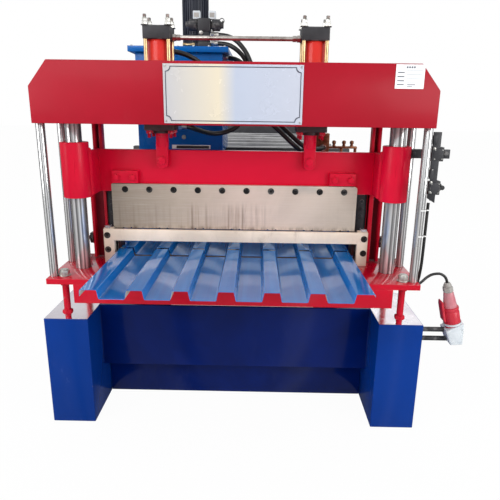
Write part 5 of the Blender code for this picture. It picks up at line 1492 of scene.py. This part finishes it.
def build_floor():
    """A plain pale floor, white to the camera and clear to what mirrors."""
    shape = bmesh.new()
    bmesh.ops.create_grid(shape, x_segments=1, y_segments=1, size=30.0)
    f = Finish("pale floor")
    tint = f.mix(f.noise(0.6, 2.0) * 0.06, (0.80, 0.80, 0.80, 1), (0.76, 0.76, 0.76, 1))
    f.set(Base_Color=tint, Roughness=0.9, Specular_IOR_Level=0.1)
    camera, glossy = f.node("ShaderNodeLightPath", out=0), f.node("ShaderNodeLightPath", out=3)
    glow = f.node("ShaderNodeEmission", {}, {"Color": (1, 1, 1, 1), "Strength": 1.0})
    shade = f.node("ShaderNodeMixShader", {}, {0: camera * 0.965, 1: Wire(f, f.shader.outputs[0]), 2: glow})
    clear = f.node("ShaderNodeBsdfTransparent")
    shade = f.node("ShaderNodeMixShader", {}, {0: glossy, 1: shade, 2: clear})
    f.tree.links.new(shade.socket, f.tree.nodes["Material Output"].inputs["Surface"])
    added("floor", meshed("floor", shape, f))


def build_studio():
    """White surroundings, with darker walls between soft windows that only reflections show."""
    world = bpy.data.worlds.new("studio")
    bpy.context.scene.world = world
    world.use_nodes = True
    g = Graph(world.node_tree)
    way = g.node("ShaderNodeTexCoord", out=0)
    x = g.node("ShaderNodeSeparateXYZ", {}, {0: way}, out=0)
    y = g.node("ShaderNodeSeparateXYZ", {}, {0: way}, out=1)
    z = g.node("ShaderNodeSeparateXYZ", {}, {0: way}, out=2)
    azimuth = g.node("ShaderNodeMath", {"operation": "ARCTAN2"}, {0: x, 1: y})
    panes = g.node("ShaderNodeTexNoise", {"noise_dimensions": "1D"},
                   {"W": azimuth + 4.0, "Scale": 3.1, "Detail": 2.0, "Roughness": 0.55})
    window = panes.ramp(0.58, 0.64)
    dark = 1.0 - panes.ramp(0.38, 0.45)
    ahead = 1.0 - y.ramp(-0.55, 0.45)
    below = (window * 0.55 - dark * 0.26 + 0.38) * (ahead * 0.80 + 0.20)
    above = window * 0.25 + 0.68
    rise = z.ramp(-0.02, 0.16)
    level = below * (1.0 - rise) + above * rise
    wall = g.node("ShaderNodeBackground", {}, {"Color": (0.95, 0.97, 1.0, 1), "Strength": level})
    plain = g.node("ShaderNodeBackground", {}, {"Color": (1, 1, 1, 1), "Strength": 0.86})
    white = g.node("ShaderNodeBackground", {}, {"Color": (1, 1, 1, 1), "Strength": 1.0})
    glossy = g.node("ShaderNodeLightPath", out=3)
    camera = g.node("ShaderNodeLightPath", out=0)
    seen = g.node("ShaderNodeMixShader", {}, {0: glossy, 1: plain, 2: wall})
    seen = g.node("ShaderNodeMixShader", {}, {0: camera, 1: seen, 2: white})
    g.tree.links.new(seen.socket, g.tree.nodes["World Output"].inputs["Surface"])


def lamp(name, place, target, size, power):
    """A rectangular lamp that looks at its target."""
    light = bpy.data.lights.new(name, "AREA")
    light.shape = "RECTANGLE"
    light.size, light.size_y = size
    light.energy = power
    spot = added(name, light)
    spot.location = place
    spot.rotation_euler = (Vector(target) - Vector(place)).to_track_quat("-Z", "Y").to_euler()


def build_lamps():
    """Four soft lamps at a plain level."""
    lamp("key", (-2.2, -3.2, 3.4), (0, 0.2, 0.8), (2.6, 1.8), 60)
    lamp("fill", (3.0, -2.4, 1.7), (0, 0.1, 1.0), (1.8, 1.8), 60)
    lamp("side", (-3.2, -2.2, 1.5), (0, 0.1, 1.0), (1.8, 1.8), 34)
    lamp("back", (0.6, 4.6, 3.6), (0, 1.0, 0.8), (3.0, 1.6), 40)


def build_camera():
    """The photograph's viewpoint."""
    data = bpy.data.cameras.new("camera")
    data.lens = LENS
    data.sensor_width = SENSOR
    camera = added("camera", data)
    turn = (Matrix.Rotation(math.radians(CAMERA_YAW), 4, "Z")
            @ Matrix.Rotation(math.radians(90 - CAMERA_PITCH), 4, "X")
            @ Matrix.Rotation(math.radians(CAMERA_ROLL), 4, "Z"))
    camera.matrix_world = Matrix.Translation(CAMERA_PLACE) @ turn
    bpy.context.scene.camera = camera


def build_machine():
    """Every piece of the machine, from the cords to the roll stands."""
    build_cords()
    build_inlet()
    build_legs()
    build_table()
    build_portal()
    build_blade()
    build_moving_beam()
    build_pistons()
    build_guides()
    build_posts()
    build_top_beam()
    build_cylinders()
    build_cross_pipe()
    build_switches()
    build_lead_ties()
    build_sheet()
    build_rolls()
    build_former()
    build_tank()
    build_motor()
    build_valve()
    build_distributor()


bpy.context.scene.view_settings.view_transform = "Standard"
build_camera()
build_studio()
build_lamps()
build_floor()
FINISH = make_finishes()
build_machine()
